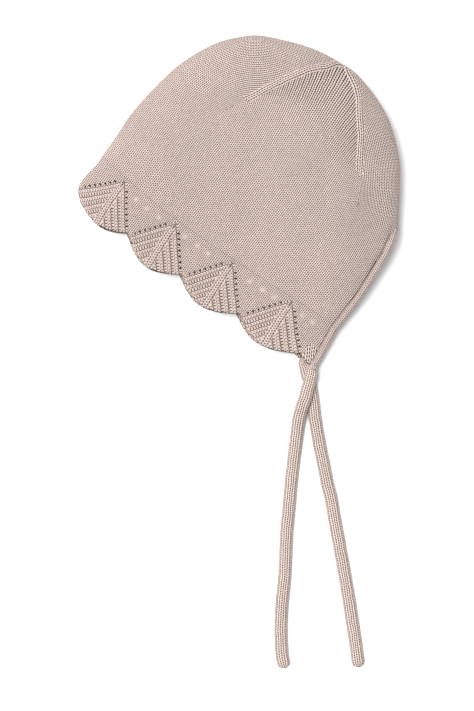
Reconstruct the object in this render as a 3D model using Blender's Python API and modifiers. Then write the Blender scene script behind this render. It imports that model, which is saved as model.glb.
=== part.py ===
"""Knitted baby bonnet with a scalloped lace edging and two knitted ties.

The bonnet lies on its side, folded on its middle plane, with the forehead fold at the upper left,
the nape fold at the right and the face edge at the lower left. +Z is up and the floor is z = 0.
The cap has axes of its own: "depth" runs from the face edge back to the crown, "across" runs from
the forehead fold to the neck edge. All sizes are in metres.
"""

import math

import bmesh
import bpy
import numpy as np

# Cap, folded flat
CAP_DEPTH = 0.1537
HALF_WIDTH = 0.0841
PUFF = 0.030
WALL = 0.0018
DEPTH_AXIS_ANGLE = math.radians(57.4)
FACE_DRAWN_BACK = 0.0122
TOP_ROUNDNESS = 3.0
FLAT_SHARE = 0.84
RIDGE_HEIGHT = 0.0008
RIDGE_HALF_WIDTH = 0.0017

# Cap mesh: rows below and above the end of the neck edge, columns across each stretch
ROWS_ALONG_NECK = 9
ROWS_TO_CROWN = 14
FOLD_COLUMNS = 3
NAPE_COLUMNS = 5
MIDDLE_COLUMNS = 6
FOREHEAD_COLUMNS = 9
UNDER_EDGE_COLUMNS = 4
UNDER_COLUMNS = 8
CLOSER_TOWARDS_FOLD = 2.0

# Neck edge and its binding
NECK_EDGE = 0.0937
NARROWEST_HALF_ROW = 0.0200
BAND_DIAMETER = 0.0038
BAND_SIDES_RESOLUTION = 2
BAND_STEP = 0.0032
BAND_PAST_EDGE = 0.0012
BAND_LOOP_SHARPNESS = 0.22
BAND_ROUTE_SAMPLES = 401
BAND_END_TURNED_OUT = 0.0024
BAND_END_RUN = 0.0120
FAR_CORNER_TUCKED_IN = 0.0040

# Lace edging
EDGING_DEPTH = 0.0240
SCALLOPS_PER_SIDE = 4
SCALLOP_DROP = 0.0083
FOLD_SHORTENING = 0.0024
FOLD_SCALLOP_STEEPNESS = 0.45
END_STRIP = 0.0058
EYELET = 0.0013
EYELET_SIDES = 6
EYELETS_PER_LINE = 7
EYELET_FOOT = 0.0028
EYELET_RISE = 0.0154
PEAK_ABOVE_LINES = 0.0016
SCALLOP_MIDDLE_SHARE = 0.51
LINE_FOOT_SHARE = 0.42
LINE_TOP_SHARE = 0.12
LACE_WALL = 0.0016
EDGING_ROWS = 5
EDGING_STEPS = 12
CLOSER_AT_FOLD = 1.6

# Ties
TIE_WIDTH = 0.0072
TIE_THICKNESS = 0.0035
TIE_STEP = 0.0085
TIE_STRAIGHT = 0.0020
TIE_SECTION_SIDES = 10
TIE_SAMPLES = 400

# Gap that touching pieces keep
CLEARANCE = 0.0003

# Share of the cap's depth, half widths to the forehead and to the nape as shares of HALF_WIDTH,
# and the heights of the top layer, of the folds and of the underside as shares of PUFF
SECTIONS = (
    # depth, forehead, nape, crest, fold, floor
    (0.000, 1.030, 0.990, 0.36, 0.17, 0.00),
    (0.100, 1.026, 0.990, 0.42, 0.19, 0.00),
    (0.200, 1.016, 1.008, 0.52, 0.22, 0.00),
    (0.300, 1.006, 1.022, 0.64, 0.26, 0.00),
    (0.400, 1.002, 1.020, 0.75, 0.30, 0.00),
    (0.500, 0.978, 1.013, 0.85, 0.33, 0.00),
    (0.580, 0.948, 0.980, 0.92, 0.35, 0.00),
    (0.660, 0.909, 0.902, 0.97, 0.37, 0.00),
    (0.740, 0.845, 0.815, 1.00, 0.39, 0.00),
    (0.810, 0.770, 0.730, 0.99, 0.40, 0.01),
    (0.870, 0.671, 0.625, 0.94, 0.40, 0.05),
    (0.920, 0.557, 0.512, 0.85, 0.40, 0.11),
    (0.960, 0.375, 0.375, 0.73, 0.40, 0.19),
    (0.985, 0.226, 0.250, 0.59, 0.40, 0.27),
    (1.000, -0.020, 0.100, 0.42, 0.40, 0.38),
)

# The two lines of decreases on the top layer: share of depth, place from fold (-1) to nape (+1)
CROWN_LINES = (
    # depth, forehead line, nape line
    (0.600, -0.50, 0.66),
    (0.700, -0.40, 0.62),
    (0.800, -0.31, 0.58),
    (0.870, -0.235, 0.545),
    (0.950, -0.10, 0.53),
    (1.000, 0.00, 0.40),
)
CROWN_LINES_START_SHARE = 0.66
CROWN_LINES_FULL_SHARE = 0.78
CROWN_LINES_END_SHARE = 0.02

# Middle lines of the ties, from the chin corner to the free end: (x, y) from the middle of the
# face edge, and the height of the tie's underside
NEAR_TIE_ROUTE = (
    (0.0688, -0.0480, 0.0043),
    (0.0674, -0.0517, 0.0041),
    (0.0654, -0.0563, 0.0039),
    (0.0636, -0.0604, 0.0039),
    (0.0627, -0.0654, 0.0039),
    (0.0620, -0.0696, 0.0035),
    (0.0609, -0.0770, 0.0022),
    (0.0597, -0.0857, 0.0010),
    (0.0585, -0.0955, 0.0003),
    (0.0574, -0.1048, 0.0000),
    (0.0563, -0.1141, 0.0000),
    (0.0555, -0.1234, 0.0000),
    (0.0546, -0.1332, 0.0000),
    (0.0537, -0.1431, 0.0000),
    (0.0532, -0.1530, 0.0000),
    (0.0528, -0.1628, 0.0000),
    (0.0522, -0.1727, 0.0000),
    (0.0512, -0.1820, 0.0000),
    (0.0505, -0.1918, 0.0000),
    (0.0503, -0.2017, 0.0000),
    (0.0506, -0.2104, 0.0000),
    (0.0513, -0.2173, 0.0000),
    (0.0527, -0.2231, 0.0000),
)
FAR_TIE_ROUTE = (
    (0.0648, -0.0485, 0.0001),
    (0.0656, -0.0520, 0.0000),
    (0.0673, -0.0572, 0.0000),
    (0.0691, -0.0635, 0.0000),
    (0.0704, -0.0694, 0.0000),
    (0.0716, -0.0770, 0.0000),
    (0.0730, -0.0857, 0.0000),
    (0.0746, -0.0955, 0.0000),
    (0.0762, -0.1048, 0.0000),
    (0.0778, -0.1141, 0.0000),
    (0.0793, -0.1234, 0.0000),
    (0.0810, -0.1332, 0.0000),
    (0.0828, -0.1431, 0.0000),
    (0.0846, -0.1530, 0.0000),
    (0.0864, -0.1628, 0.0000),
    (0.0881, -0.1727, 0.0000),
    (0.0897, -0.1820, 0.0000),
    (0.0912, -0.1918, 0.0000),
    (0.0927, -0.2017, 0.0000),
    (0.0940, -0.2104, 0.0000),
    (0.0948, -0.2162, 0.0000),
    (0.0957, -0.2225, 0.0000),
)


def smooth_through(table, stations):
    """Every column of a table, read at the stations on a smooth curve through its rows."""
    rows = np.array(table, float)
    x, columns = rows[:, 0], rows[:, 1:]
    slopes = np.gradient(columns, x, axis=0)
    stations = np.clip(np.asarray(stations, float), x[0], x[-1])
    k = np.clip(np.searchsorted(x, stations, side="right") - 1, 0, len(x) - 2)
    step = x[k + 1] - x[k]
    t = ((stations - x[k]) / step)[..., None]
    step = step[..., None]
    start, end = columns[k], columns[k + 1]
    return (
        (2 * t**3 - 3 * t**2 + 1) * start
        + (t**3 - 2 * t**2 + t) * step * slopes[k]
        + (3 * t**2 - 2 * t**3) * end
        + (t**3 - t**2) * step * slopes[k + 1]
    )


def by_angle(table):
    """The table with its share of depth as an angle, so that the crown comes out round."""
    return [(math.asin(row[0]), *row[1:]) for row in table]


def section_at(depth):
    """Middle and half width across, and heights of crest, folds and underside, at a depth."""
    share = np.clip(np.asarray(depth, float) / CAP_DEPTH, 0.0, 1.0)
    values = smooth_through(by_angle(SECTIONS), np.arcsin(share))
    forehead, nape = values[..., 0] * HALF_WIDTH, values[..., 1] * HALF_WIDTH
    heights = np.maximum(values[..., 2:5], 0.0) * PUFF
    return (nape - forehead) / 2, (nape + forehead) / 2, heights


def course_depth(row, place):
    """Depth of a course at a place from -1 (forehead) to +1 (neck), drawn back at the forehead."""
    from_forehead = (np.asarray(place) + 1) / 2
    return row + FACE_DRAWN_BACK * (1 - from_forehead) ** 4 * (1 - row / CAP_DEPTH)


def outer_point(row, place, top):
    """Point of the cap's outer surface in the cap's axes: across, depth and height."""
    row, place = np.broadcast_arrays(np.asarray(row, float), np.asarray(place, float))
    depth = course_depth(row, place)
    middle, half, heights = section_at(depth)
    crest, fold, floor = heights[..., 0], heights[..., 1], heights[..., 2]
    reach = np.clip(np.abs(place), 0.0, 1.0)
    dome = np.sqrt(np.clip(1 - reach**TOP_ROUNDNESS, 0.0, 1.0))
    past_flat = np.clip((reach - FLAT_SHARE) / (1 - FLAT_SHARE), 0.0, 1.0)
    tray = np.sqrt(1 - past_flat**2)
    height = np.where(top, fold + (crest - fold) * dome, fold - (fold - floor) * tray)
    return np.stack([middle + place * half, depth, height], axis=-1)


def to_world(points):
    """Turns (across, depth, height) into (x, y, z)."""
    across, depth, height = np.moveaxis(np.asarray(points, float), -1, 0)
    c, s = math.cos(DEPTH_AXIS_ANGLE), math.sin(DEPTH_AXIS_ANGLE)
    return np.stack([across * s + depth * c, depth * s - across * c, height], axis=-1)


def half_width_at(depth):
    return section_at(depth)[1]


def tucked_in(row, top):
    """How far a layer's neck edge lies inside the outline: the far chin corner is tucked in."""
    share = np.clip(1 - np.asarray(row, float) / NECK_EDGE, 0.0, 1.0)
    return np.where(top, 0.0, FAR_CORNER_TUCKED_IN) * share**2


def neck_place(row, top):
    """Place of the cap's cut neck edge on a row, one band's width inside the outline."""
    half = np.maximum(half_width_at(row), NARROWEST_HALF_ROW)
    return 1 - (BAND_DIAMETER + CLEARANCE + tucked_in(row, top)) / half


def eased(start, end, count, power=1.0, from_end=False):
    """Places from start to end, the last left out, closer together towards the start or the end."""
    t = np.arange(count) / count
    t = 1 - (1 - t) ** power if from_end else t**power
    return start + (end - start) * t


def ridge_places(row):
    share = float(np.clip(row / CAP_DEPTH, CROWN_LINES[0][0], 1.0))
    return smooth_through(CROWN_LINES, [share])[0]


def top_places(row):
    """Places of one course on the top layer, from the nape fold over to the forehead fold."""
    forehead_line, nape_line = ridge_places(row)
    step = RIDGE_HALF_WIDTH / max(float(half_width_at(row)), 4 * RIDGE_HALF_WIDTH)
    edge = float(neck_place(row, True))
    return np.concatenate([
        eased(1.0, edge, FOLD_COLUMNS, CLOSER_TOWARDS_FOLD),
        eased(edge, nape_line + step, NAPE_COLUMNS),
        [nape_line + step, nape_line],
        eased(nape_line - step, forehead_line + step, MIDDLE_COLUMNS),
        [forehead_line + step, forehead_line],
        eased(forehead_line - step, -1.0, FOREHEAD_COLUMNS, CLOSER_TOWARDS_FOLD, from_end=True),
    ])


NAPE_LINE_COLUMN = FOLD_COLUMNS + NAPE_COLUMNS + 1
FOREHEAD_LINE_COLUMN = NAPE_LINE_COLUMN + MIDDLE_COLUMNS + 2


def under_places(row):
    """Places of one course on the lower layer, from the forehead fold back to the nape fold."""
    edge = float(neck_place(row, False))
    flat_end = min(FLAT_SHARE, edge - (1 - FLAT_SHARE) / 4)
    return np.concatenate([
        eased(-1.0, -FLAT_SHARE, UNDER_EDGE_COLUMNS, CLOSER_TOWARDS_FOLD),
        eased(-FLAT_SHARE, flat_end, UNDER_COLUMNS),
        eased(flat_end, edge, UNDER_EDGE_COLUMNS),
        eased(edge, 1.0, FOLD_COLUMNS, CLOSER_TOWARDS_FOLD, from_end=True),
    ])


def cap_ring(row):
    top, under = top_places(row), under_places(row)
    ring = np.concatenate([outer_point(row, top, True), outer_point(row, under, False)])
    share = row / CAP_DEPTH
    run_up = CROWN_LINES_FULL_SHARE - CROWN_LINES_START_SHARE
    started = np.clip((share - CROWN_LINES_START_SHARE) / run_up, 0, 1)
    faded = np.clip((1 - share) / CROWN_LINES_END_SHARE, 0, 1)
    ring[[NAPE_LINE_COLUMN, FOREHEAD_LINE_COLUMN], 2] += RIDGE_HEIGHT * started * faded
    return ring


def cap_rows():
    """Rows from the edging to the crown, closer together where the crown turns in."""
    start, stop = EDGING_DEPTH + CLEARANCE, NECK_EDGE - BAND_DIAMETER - CLEARANCE
    below = np.linspace(start, stop, ROWS_ALONG_NECK)
    lip = NECK_EDGE + CLEARANCE
    turn = math.asin(lip / CAP_DEPTH)
    above = CAP_DEPTH * np.sin(np.linspace(turn, math.pi / 2, ROWS_TO_CROWN + 1))[:-1]
    return np.concatenate([below, [NECK_EDGE - CLEARANCE], above]), len(below) + 1


def new_mesh_object(name, vertices, faces, collection, material):
    mesh = bpy.data.meshes.new(name)
    mesh.from_pydata([tuple(v) for v in vertices], [], faces)
    mesh.materials.append(material)
    mesh.shade_smooth()
    made = bpy.data.objects.new(name, mesh)
    collection.objects.link(made)
    return made


def thicken(made, wall):
    solidify = made.modifiers.new("Wall", "SOLIDIFY")
    solidify.thickness = wall
    solidify.offset = -1.0
    solidify.use_even_offset = False


def face_outwards(made):
    """Turns an open sheet's faces so that they point away from its own middle."""
    mesh = made.data
    grid = bmesh.new()
    grid.from_mesh(mesh)
    grid.faces.ensure_lookup_table()
    middle = sum((v.co for v in grid.verts), grid.verts[:][0].co * 0) / len(grid.verts)
    face = max(grid.faces, key=lambda f: f.calc_center_median().z)
    if (face.calc_center_median() - middle).dot(face.normal) < 0:
        bmesh.ops.reverse_faces(grid, faces=grid.faces[:])
    grid.to_mesh(mesh)
    grid.free()


def make_cap(collection, material):
    rows, closed_from = cap_rows()
    rings = [cap_ring(row) for row in rows]
    around = len(rings[0])
    vertices = np.concatenate(rings)
    faces = []
    for i in range(len(rings) - 1):
        for j in range(around):
            cut_away = j < FOLD_COLUMNS or j >= around - FOLD_COLUMNS
            if i < closed_from and cut_away:
                continue
            k = (j + 1) % around
            here, above = i * around, (i + 1) * around
            faces.append((here + j, here + k, above + k, above + j))
    last = (len(rings) - 1) * around
    pole = np.mean(rings[-1], axis=0)
    vertices = np.concatenate([vertices, [pole]])
    faces += [(last + j, last + (j + 1) % around, len(vertices) - 1) for j in range(around)]
    cap = new_mesh_object("cap_body", to_world(vertices), faces, collection, material)
    drop_loose_vertices(cap)
    face_outwards(cap)
    thicken(cap, WALL)
    return cap


def drop_loose_vertices(made):
    grid = bmesh.new()
    grid.from_mesh(made.data)
    loose = [v for v in grid.verts if not v.link_faces]
    bmesh.ops.delete(grid, geom=loose, context="VERTS")
    grid.to_mesh(made.data)
    grid.free()


def face_half_length():
    """Length of the face edge on one side, from the forehead fold to the band."""
    return 2 * float(half_width_at(0.0)) - BAND_DIAMETER - CLEARANCE


def scallop_width():
    return (face_half_length() - END_STRIP) / SCALLOPS_PER_SIDE


def place_of_distance(distance):
    """Place from -1 to +1 of a distance along the knit, which looks shorter where it turns down."""
    shortened = FOLD_SHORTENING * np.sin(math.pi * distance / face_half_length())
    return (distance - shortened) / float(half_width_at(0.0)) - 1


def edging_point(row, distance, top):
    """Point of the edging's outer surface, at a distance from the forehead fold and a row."""
    share = 1 - tucked_in(row, top) / face_half_length()
    return outer_point(row, place_of_distance(distance * share), top)


def scallop_edge(distance):
    """Row of the scalloped edge: each scallop drops below the line between its two notches."""
    turns = distance / scallop_width()
    phase = turns - np.floor(turns)
    steepness = np.where(turns < 0.5, FOLD_SCALLOP_STEEPNESS, 1.0)
    drop = SCALLOP_DROP * np.sin(math.pi * phase) ** steepness
    return np.where(turns < SCALLOPS_PER_SIDE, -drop, 0.0)


def edging_distances():
    """Distances along one side of the face edge, closer together at the fold."""
    width = scallop_width()
    steps = np.arange(EDGING_STEPS) / EDGING_STEPS
    first = width * steps**CLOSER_AT_FOLD
    others = [width * (i + steps) for i in range(1, SCALLOPS_PER_SIDE)]
    strip = SCALLOPS_PER_SIDE * width + END_STRIP * np.array([0.0, 0.5, 1.0])
    return np.concatenate([first, *others, strip])


def make_edging(collection, cutters, material):
    distances = edging_distances()
    edge = scallop_edge(distances)
    levels = (np.arange(EDGING_ROWS + 1) / EDGING_ROWS)[:, None]
    heights = EDGING_DEPTH + (edge[None, :] - EDGING_DEPTH) * levels
    near = edging_point(heights, distances, True)
    far = edging_point(heights, distances, False)
    sheet = np.concatenate([near[:, ::-1], far[:, 1:]], axis=1)
    count = sheet.shape[1]
    vertices = sheet.reshape(-1, 3)
    faces = [
        (i * count + j, i * count + j + 1, (i + 1) * count + j + 1, (i + 1) * count + j)
        for i in range(EDGING_ROWS)
        for j in range(count - 1)
    ]
    edging = new_mesh_object("scallop_edging", to_world(vertices), faces, collection, material)
    face_outwards(edging)
    thicken(edging, LACE_WALL)
    cutter = make_eyelet_cutter(cutters)
    cut = edging.modifiers.new("Eyelets", "BOOLEAN")
    cut.operation = "DIFFERENCE"
    cut.solver = "EXACT"
    cut.object = cutter
    return edging


def eyelet_places():
    """(distance, row) of each eyelet: two lines that rise to a peak in the middle of each scallop."""
    found = []
    width = scallop_width()
    for scallop in range(SCALLOPS_PER_SIDE):
        middle = (scallop + SCALLOP_MIDDLE_SHARE) * width
        for k in range(EYELETS_PER_LINE):
            t = k / (EYELETS_PER_LINE - 1)
            reach = width * (LINE_FOOT_SHARE + (LINE_TOP_SHARE - LINE_FOOT_SHARE) * t)
            row = EYELET_FOOT + EYELET_RISE * t
            found += [(middle - reach, row), (middle + reach, row)]
        found.append((middle, EYELET_FOOT + EYELET_RISE + PEAK_ABOVE_LINES))
    return found


def make_eyelet_cutter(cutters):
    """One mesh of upright prisms, a prism for each eyelet of the near and the far layer."""
    grid = bmesh.new()
    for top in (True, False):
        for distance, row in eyelet_places():
            x, y, z = to_world(edging_point(row, distance, top))
            made = bmesh.ops.create_cone(
                grid, cap_ends=True, segments=EYELET_SIDES,
                radius1=EYELET / 2, radius2=EYELET / 2, depth=4 * LACE_WALL,
            )
            bmesh.ops.translate(grid, verts=made["verts"], vec=(x, y, z))
    mesh = bpy.data.meshes.new("eyelet_cutter")
    grid.to_mesh(mesh)
    grid.free()
    cutter = bpy.data.objects.new("eyelet_cutter", mesh)
    cutter.hide_render = True
    cutter.display_type = "WIRE"
    cutters.objects.link(cutter)
    return cutter


def band_route():
    """Middle line of the neck band: up the near neck edge, round the nape fold, down the far edge."""
    top_of_loop = NECK_EDGE - BAND_DIAMETER / 2 - CLEARANCE
    turn = np.linspace(-math.pi / 2, math.pi / 2, BAND_ROUTE_SAMPLES)
    row = (top_of_loop + BAND_PAST_EDGE) * np.cos(turn) ** BAND_LOOP_SHARPNESS - BAND_PAST_EDGE
    middle, half, _ = section_at(row)
    near = outer_point(row, neck_place(row, True), True)[:, 2] - WALL / 2
    far = outer_point(row, neck_place(row, False), False)[:, 2] + WALL / 2
    far = np.maximum(far, BAND_DIAMETER / 2)
    height = (near + far) / 2 - (near - far) / 2 * np.sin(turn)
    near_share = (1 - np.sin(turn)) / 2
    tuck = tucked_in(row, False) * (1 - near_share)
    near_end = np.clip(1 - (row + BAND_PAST_EDGE) / BAND_END_RUN, 0.0, 1.0)
    turned_out = BAND_END_TURNED_OUT * near_end**2
    across = middle + half - BAND_DIAMETER / 2 - tuck + turned_out * near_share
    return evenly(np.stack([across, row, height], axis=-1), BAND_STEP)


def evenly(points, step):
    """The same curve with its points about one step apart."""
    run = np.concatenate([[0], np.cumsum(np.linalg.norm(np.diff(points, axis=0), axis=1))])
    marks = np.linspace(0, run[-1], max(2, round(run[-1] / step) + 1))
    return np.stack([np.interp(marks, run, points[:, i]) for i in range(3)], axis=-1)


def poly_curve(name, points, collection, material):
    data = bpy.data.curves.new(name, "CURVE")
    data.dimensions = "3D"
    spline = data.splines.new("POLY")
    spline.points.add(len(points) - 1)
    for target, (x, y, z) in zip(spline.points, points):
        target.co = (x, y, z, 1.0)
    data.use_fill_caps = True
    data.materials.append(material)
    made = bpy.data.objects.new(name, data)
    collection.objects.link(made)
    return made


def make_neck_band(collection, material):
    band = poly_curve("neck_band", to_world(band_route()), collection, material)
    band.data.bevel_depth = BAND_DIAMETER / 2
    band.data.bevel_resolution = BAND_SIDES_RESOLUTION
    return band


def tie_section(cutters):
    """Flat oval that both ties are drawn with."""
    data = bpy.data.curves.new("tie_section", "CURVE")
    data.dimensions = "2D"
    spline = data.splines.new("POLY")
    spline.points.add(TIE_SECTION_SIDES - 1)
    for k, target in enumerate(spline.points):
        turn = -2 * math.pi * (k + 0.5) / TIE_SECTION_SIDES
        target.co = (TIE_WIDTH / 2 * math.cos(turn), TIE_THICKNESS / 2 * math.sin(turn), 0, 1)
    spline.use_cyclic_u = True
    section = bpy.data.objects.new("tie_section", data)
    section.hide_render = True
    section.display_type = "WIRE"
    cutters.objects.link(section)
    return section


def tie_points(route, band_end, before_end):
    """The route on a smooth curve, straight out of the band's end, at half the tie's thickness."""
    end, before = to_world(band_end), to_world(before_end)
    onward = (end - before) / np.linalg.norm(end - before)
    start = end + onward * CLEARANCE - (0.0, 0.0, TIE_THICKNESS / 2)
    points = np.concatenate([[start, start + onward * TIE_STRAIGHT], np.array(route, float)])
    run = np.concatenate([[0], np.cumsum(np.linalg.norm(np.diff(points, axis=0), axis=1))])
    table = np.column_stack([run, points])
    smooth = smooth_through(table, np.linspace(0, run[-1], TIE_SAMPLES))
    smooth[:, 2] = np.maximum(smooth[:, 2], 0) + TIE_THICKNESS / 2
    spaced = evenly(smooth, TIE_STEP)
    straight = spaced[0] + onward * TIE_STRAIGHT
    return np.concatenate([spaced[:1], [straight], spaced[1:]])


def make_tie(name, route, band_points, section, collection, material):
    tie = poly_curve(name, tie_points(route, *band_points), collection, material)
    tie.data.bevel_mode = "OBJECT"
    tie.data.bevel_object = section
    tie.data.twist_mode = "Z_UP"
    return tie


def knit_material(name, colour, roughness):
    material = bpy.data.materials.new(name)
    material.use_nodes = True
    shader = material.node_tree.nodes["Principled BSDF"]
    shader.inputs["Base Color"].default_value = (*colour, 1.0)
    shader.inputs["Roughness"].default_value = roughness
    shader.inputs["Metallic"].default_value = 0.0
    return material


def centre_on_origin(root, cap_pieces):
    """Moves the parent so that the middle of the cap's box, ties left out, is at the origin."""
    bpy.context.view_layer.update()
    graph = bpy.context.evaluated_depsgraph_get()
    corners = []
    for piece in cap_pieces:
        seen = piece.evaluated_get(graph)
        corners += [seen.matrix_world @ corner.co for corner in seen.to_mesh().vertices]
    xs, ys = [c.x for c in corners], [c.y for c in corners]
    root.location = (-(min(xs) + max(xs)) / 2, -(min(ys) + max(ys)) / 2, 0)
    bpy.context.view_layer.update()


def main():
    for old in list(bpy.data.objects):
        bpy.data.objects.remove(old, do_unlink=True)
    collection = bpy.data.collections.new("baby_bonnet")
    cutters = bpy.data.collections.new("cutters")
    for made in (collection, cutters):
        bpy.context.scene.collection.children.link(made)

    cap = make_cap(collection, knit_material("cap_knit", (0.58, 0.48, 0.43), 0.92))
    edging = make_edging(collection, cutters, knit_material("lace_knit", (0.60, 0.50, 0.45), 0.92))
    band = make_neck_band(collection, knit_material("band_knit", (0.56, 0.46, 0.42), 0.90))
    section = tie_section(cutters)
    near = make_tie(
        "tie_near", NEAR_TIE_ROUTE, band_route()[:2], section, collection,
        knit_material("near_tie_knit", (0.60, 0.50, 0.46), 0.90),
    )
    far = make_tie(
        "tie_far", FAR_TIE_ROUTE, band_route()[:-3:-1], section, collection,
        knit_material("far_tie_knit", (0.58, 0.48, 0.44), 0.90),
    )

    root = bpy.data.objects.new("baby_bonnet_root", None)
    collection.objects.link(root)
    cutter = bpy.data.objects["eyelet_cutter"]
    for piece in (cap, edging, band, near, far, cutter):
        piece.parent = root
    centre_on_origin(root, (cap, edging, band))


main()
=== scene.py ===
"""Looks of the knitted baby bonnet: the folded cap, its scalloped lace edging, the rolled neck binding
and the two knitted ties, on a plain pale floor seen from straight above.

All shapes are functions on a grid. The cap has axes of its own: "depth" runs from the face edge back
to the crown, "across" from the forehead fold to the neck edge, and "place" goes from -1 at the
forehead fold to +1 at the nape fold. Lengths are in metres.
"""

import math

import bpy
import numpy as np
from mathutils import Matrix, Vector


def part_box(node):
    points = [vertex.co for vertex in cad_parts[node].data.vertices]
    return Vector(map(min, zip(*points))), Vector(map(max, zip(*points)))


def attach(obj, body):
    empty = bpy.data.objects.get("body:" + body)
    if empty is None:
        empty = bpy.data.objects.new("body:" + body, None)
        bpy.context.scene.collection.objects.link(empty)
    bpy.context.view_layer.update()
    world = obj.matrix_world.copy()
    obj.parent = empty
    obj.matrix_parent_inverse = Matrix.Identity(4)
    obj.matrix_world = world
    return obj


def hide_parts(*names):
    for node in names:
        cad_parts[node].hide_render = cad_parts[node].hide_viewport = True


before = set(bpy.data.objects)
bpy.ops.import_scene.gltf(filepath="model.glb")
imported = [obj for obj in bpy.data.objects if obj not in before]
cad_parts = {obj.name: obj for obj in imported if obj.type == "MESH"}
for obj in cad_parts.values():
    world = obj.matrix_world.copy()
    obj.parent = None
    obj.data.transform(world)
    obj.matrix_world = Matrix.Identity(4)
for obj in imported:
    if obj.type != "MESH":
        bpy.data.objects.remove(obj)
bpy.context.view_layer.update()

# Stage and camera
PAGE_MIDDLE = (-0.0012, -0.0886)
PAGE_HEIGHT = 0.4124
SHARP_AT_HEIGHT = 0.008
CAMERA_HEIGHT = 2.2
SENSOR = 36.0
FLOOR_HALF_SIZE = 3.0
FLOOR_BELOW = 0.0002
FLOOR_WHITE = (0.93, 0.93, 0.935, 1)
FLOOR_ROUGHNESS = 0.9
FLOOR_SHINE = 0.1
ROOM_LIGHT = 0.62
LAMP_STRENGTH = 4.08
LAMP_SOFTNESS = math.radians(36)
LAMP_TURN = (math.radians(-10), math.radians(-21), 0)

# Cap, as in the solids
CAP_DEPTH = 0.1537
HALF_WIDTH = 0.0841
PUFF = 0.030
WALL = 0.0018
DEPTH_AXIS_ANGLE = math.radians(57.4)
FACE_DRAWN_BACK = 0.0122
TOP_ROUNDNESS = 3.0
FLAT_SHARE = 0.84
NECK_EDGE = 0.0937
BAND_DIAMETER = 0.0038
BAND_PAST_EDGE = 0.0012
BAND_LOOP_SHARPNESS = 0.22
BAND_END_TURNED_OUT = 0.0024
BAND_END_RUN = 0.0120
FAR_CORNER_TUCKED_IN = 0.0040
LEAST_HALF_WIDTH = 0.02
CLEARANCE = 0.0003
SECTIONS = (
    # share of depth, forehead, nape, crest, fold, floor
    (0.000, 1.030, 0.990, 0.36, 0.17, 0.00),
    (0.100, 1.026, 0.990, 0.42, 0.19, 0.00),
    (0.200, 1.016, 1.008, 0.52, 0.22, 0.00),
    (0.300, 1.006, 1.022, 0.64, 0.26, 0.00),
    (0.400, 1.002, 1.020, 0.75, 0.30, 0.00),
    (0.500, 0.978, 1.013, 0.85, 0.33, 0.00),
    (0.580, 0.948, 0.980, 0.92, 0.35, 0.00),
    (0.660, 0.909, 0.902, 0.97, 0.37, 0.00),
    (0.740, 0.845, 0.815, 1.00, 0.39, 0.00),
    (0.810, 0.770, 0.730, 0.99, 0.40, 0.01),
    (0.870, 0.671, 0.625, 0.94, 0.40, 0.05),
    (0.920, 0.557, 0.512, 0.85, 0.40, 0.11),
    (0.960, 0.375, 0.375, 0.73, 0.40, 0.19),
    (0.985, 0.226, 0.250, 0.59, 0.40, 0.27),
    (1.000, -0.020, 0.100, 0.42, 0.40, 0.38),
)
CROWN_LINES = (
    # share of depth, forehead line, nape line
    (0.600, -0.50, 0.66),
    (0.700, -0.40, 0.62),
    (0.800, -0.31, 0.58),
    (0.870, -0.235, 0.545),
    (0.950, -0.10, 0.53),
    (1.000, 0.00, 0.40),
)

# Lace edging, as in the solids
EDGING_DEPTH = 0.0240
SCALLOPS_PER_SIDE = 4
SCALLOP_DROP = 0.0083
FOLD_SHORTENING = 0.0024
FOLD_SCALLOP_STEEPNESS = 0.45
END_STRIP = 0.0058
EYELET = 0.0013
EYELETS_PER_LINE = 7
EYELET_FOOT = 0.0028
EYELET_RISE = 0.0154
PEAK_ABOVE_LINES = 0.0016
PEAK_ROUNDED = 0.0010
SCALLOP_MIDDLE = 0.51
LINE_REACH_FOOT = 0.42
LINE_REACH_TOP = 0.12
LACE_WALL = 0.0016

# Ties, as in the solids
TIE_WIDTH = 0.0072
TIE_THICKNESS = 0.0035
TIE_STRAIGHT = 0.0020
TIE_TAPER = 0.0090
BAND_SOLID_STEP = 0.0032
NEAR_TIE_ROUTE = (
    (0.0688, -0.0480, 0.0043),
    (0.0680, -0.0517, 0.0041),
    (0.0669, -0.0563, 0.0039),
    (0.0657, -0.0604, 0.0039),
    (0.0645, -0.0654, 0.0039),
    (0.0630, -0.0696, 0.0035),
    (0.0609, -0.0770, 0.0022),
    (0.0597, -0.0857, 0.0010),
    (0.0585, -0.0955, 0.0003),
    (0.0574, -0.1048, 0.0000),
    (0.0563, -0.1141, 0.0000),
    (0.0555, -0.1234, 0.0000),
    (0.0546, -0.1332, 0.0000),
    (0.0537, -0.1431, 0.0000),
    (0.0532, -0.1530, 0.0000),
    (0.0528, -0.1628, 0.0000),
    (0.0522, -0.1727, 0.0000),
    (0.0512, -0.1820, 0.0000),
    (0.0505, -0.1918, 0.0000),
    (0.0503, -0.2017, 0.0000),
    (0.0506, -0.2104, 0.0000),
    (0.0513, -0.2173, 0.0000),
    (0.0527, -0.2231, 0.0000),
)
FAR_TIE_ROUTE = (
    (0.0648, -0.0485, 0.0001),
    (0.0656, -0.0520, 0.0000),
    (0.0673, -0.0572, 0.0000),
    (0.0684, -0.0635, 0.0000),
    (0.0692, -0.0694, 0.0000),
    (0.0701, -0.0770, 0.0000),
    (0.0715, -0.0857, 0.0000),
    (0.0733, -0.0955, 0.0000),
    (0.0752, -0.1048, 0.0000),
    (0.0770, -0.1141, 0.0000),
    (0.0793, -0.1234, 0.0000),
    (0.0810, -0.1332, 0.0000),
    (0.0828, -0.1431, 0.0000),
    (0.0846, -0.1530, 0.0000),
    (0.0864, -0.1628, 0.0000),
    (0.0881, -0.1727, 0.0000),
    (0.0897, -0.1820, 0.0000),
    (0.0912, -0.1918, 0.0000),
    (0.0927, -0.2017, 0.0000),
    (0.0940, -0.2104, 0.0000),
    (0.0948, -0.2162, 0.0000),
    (0.0957, -0.2225, 0.0000),
)

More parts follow.
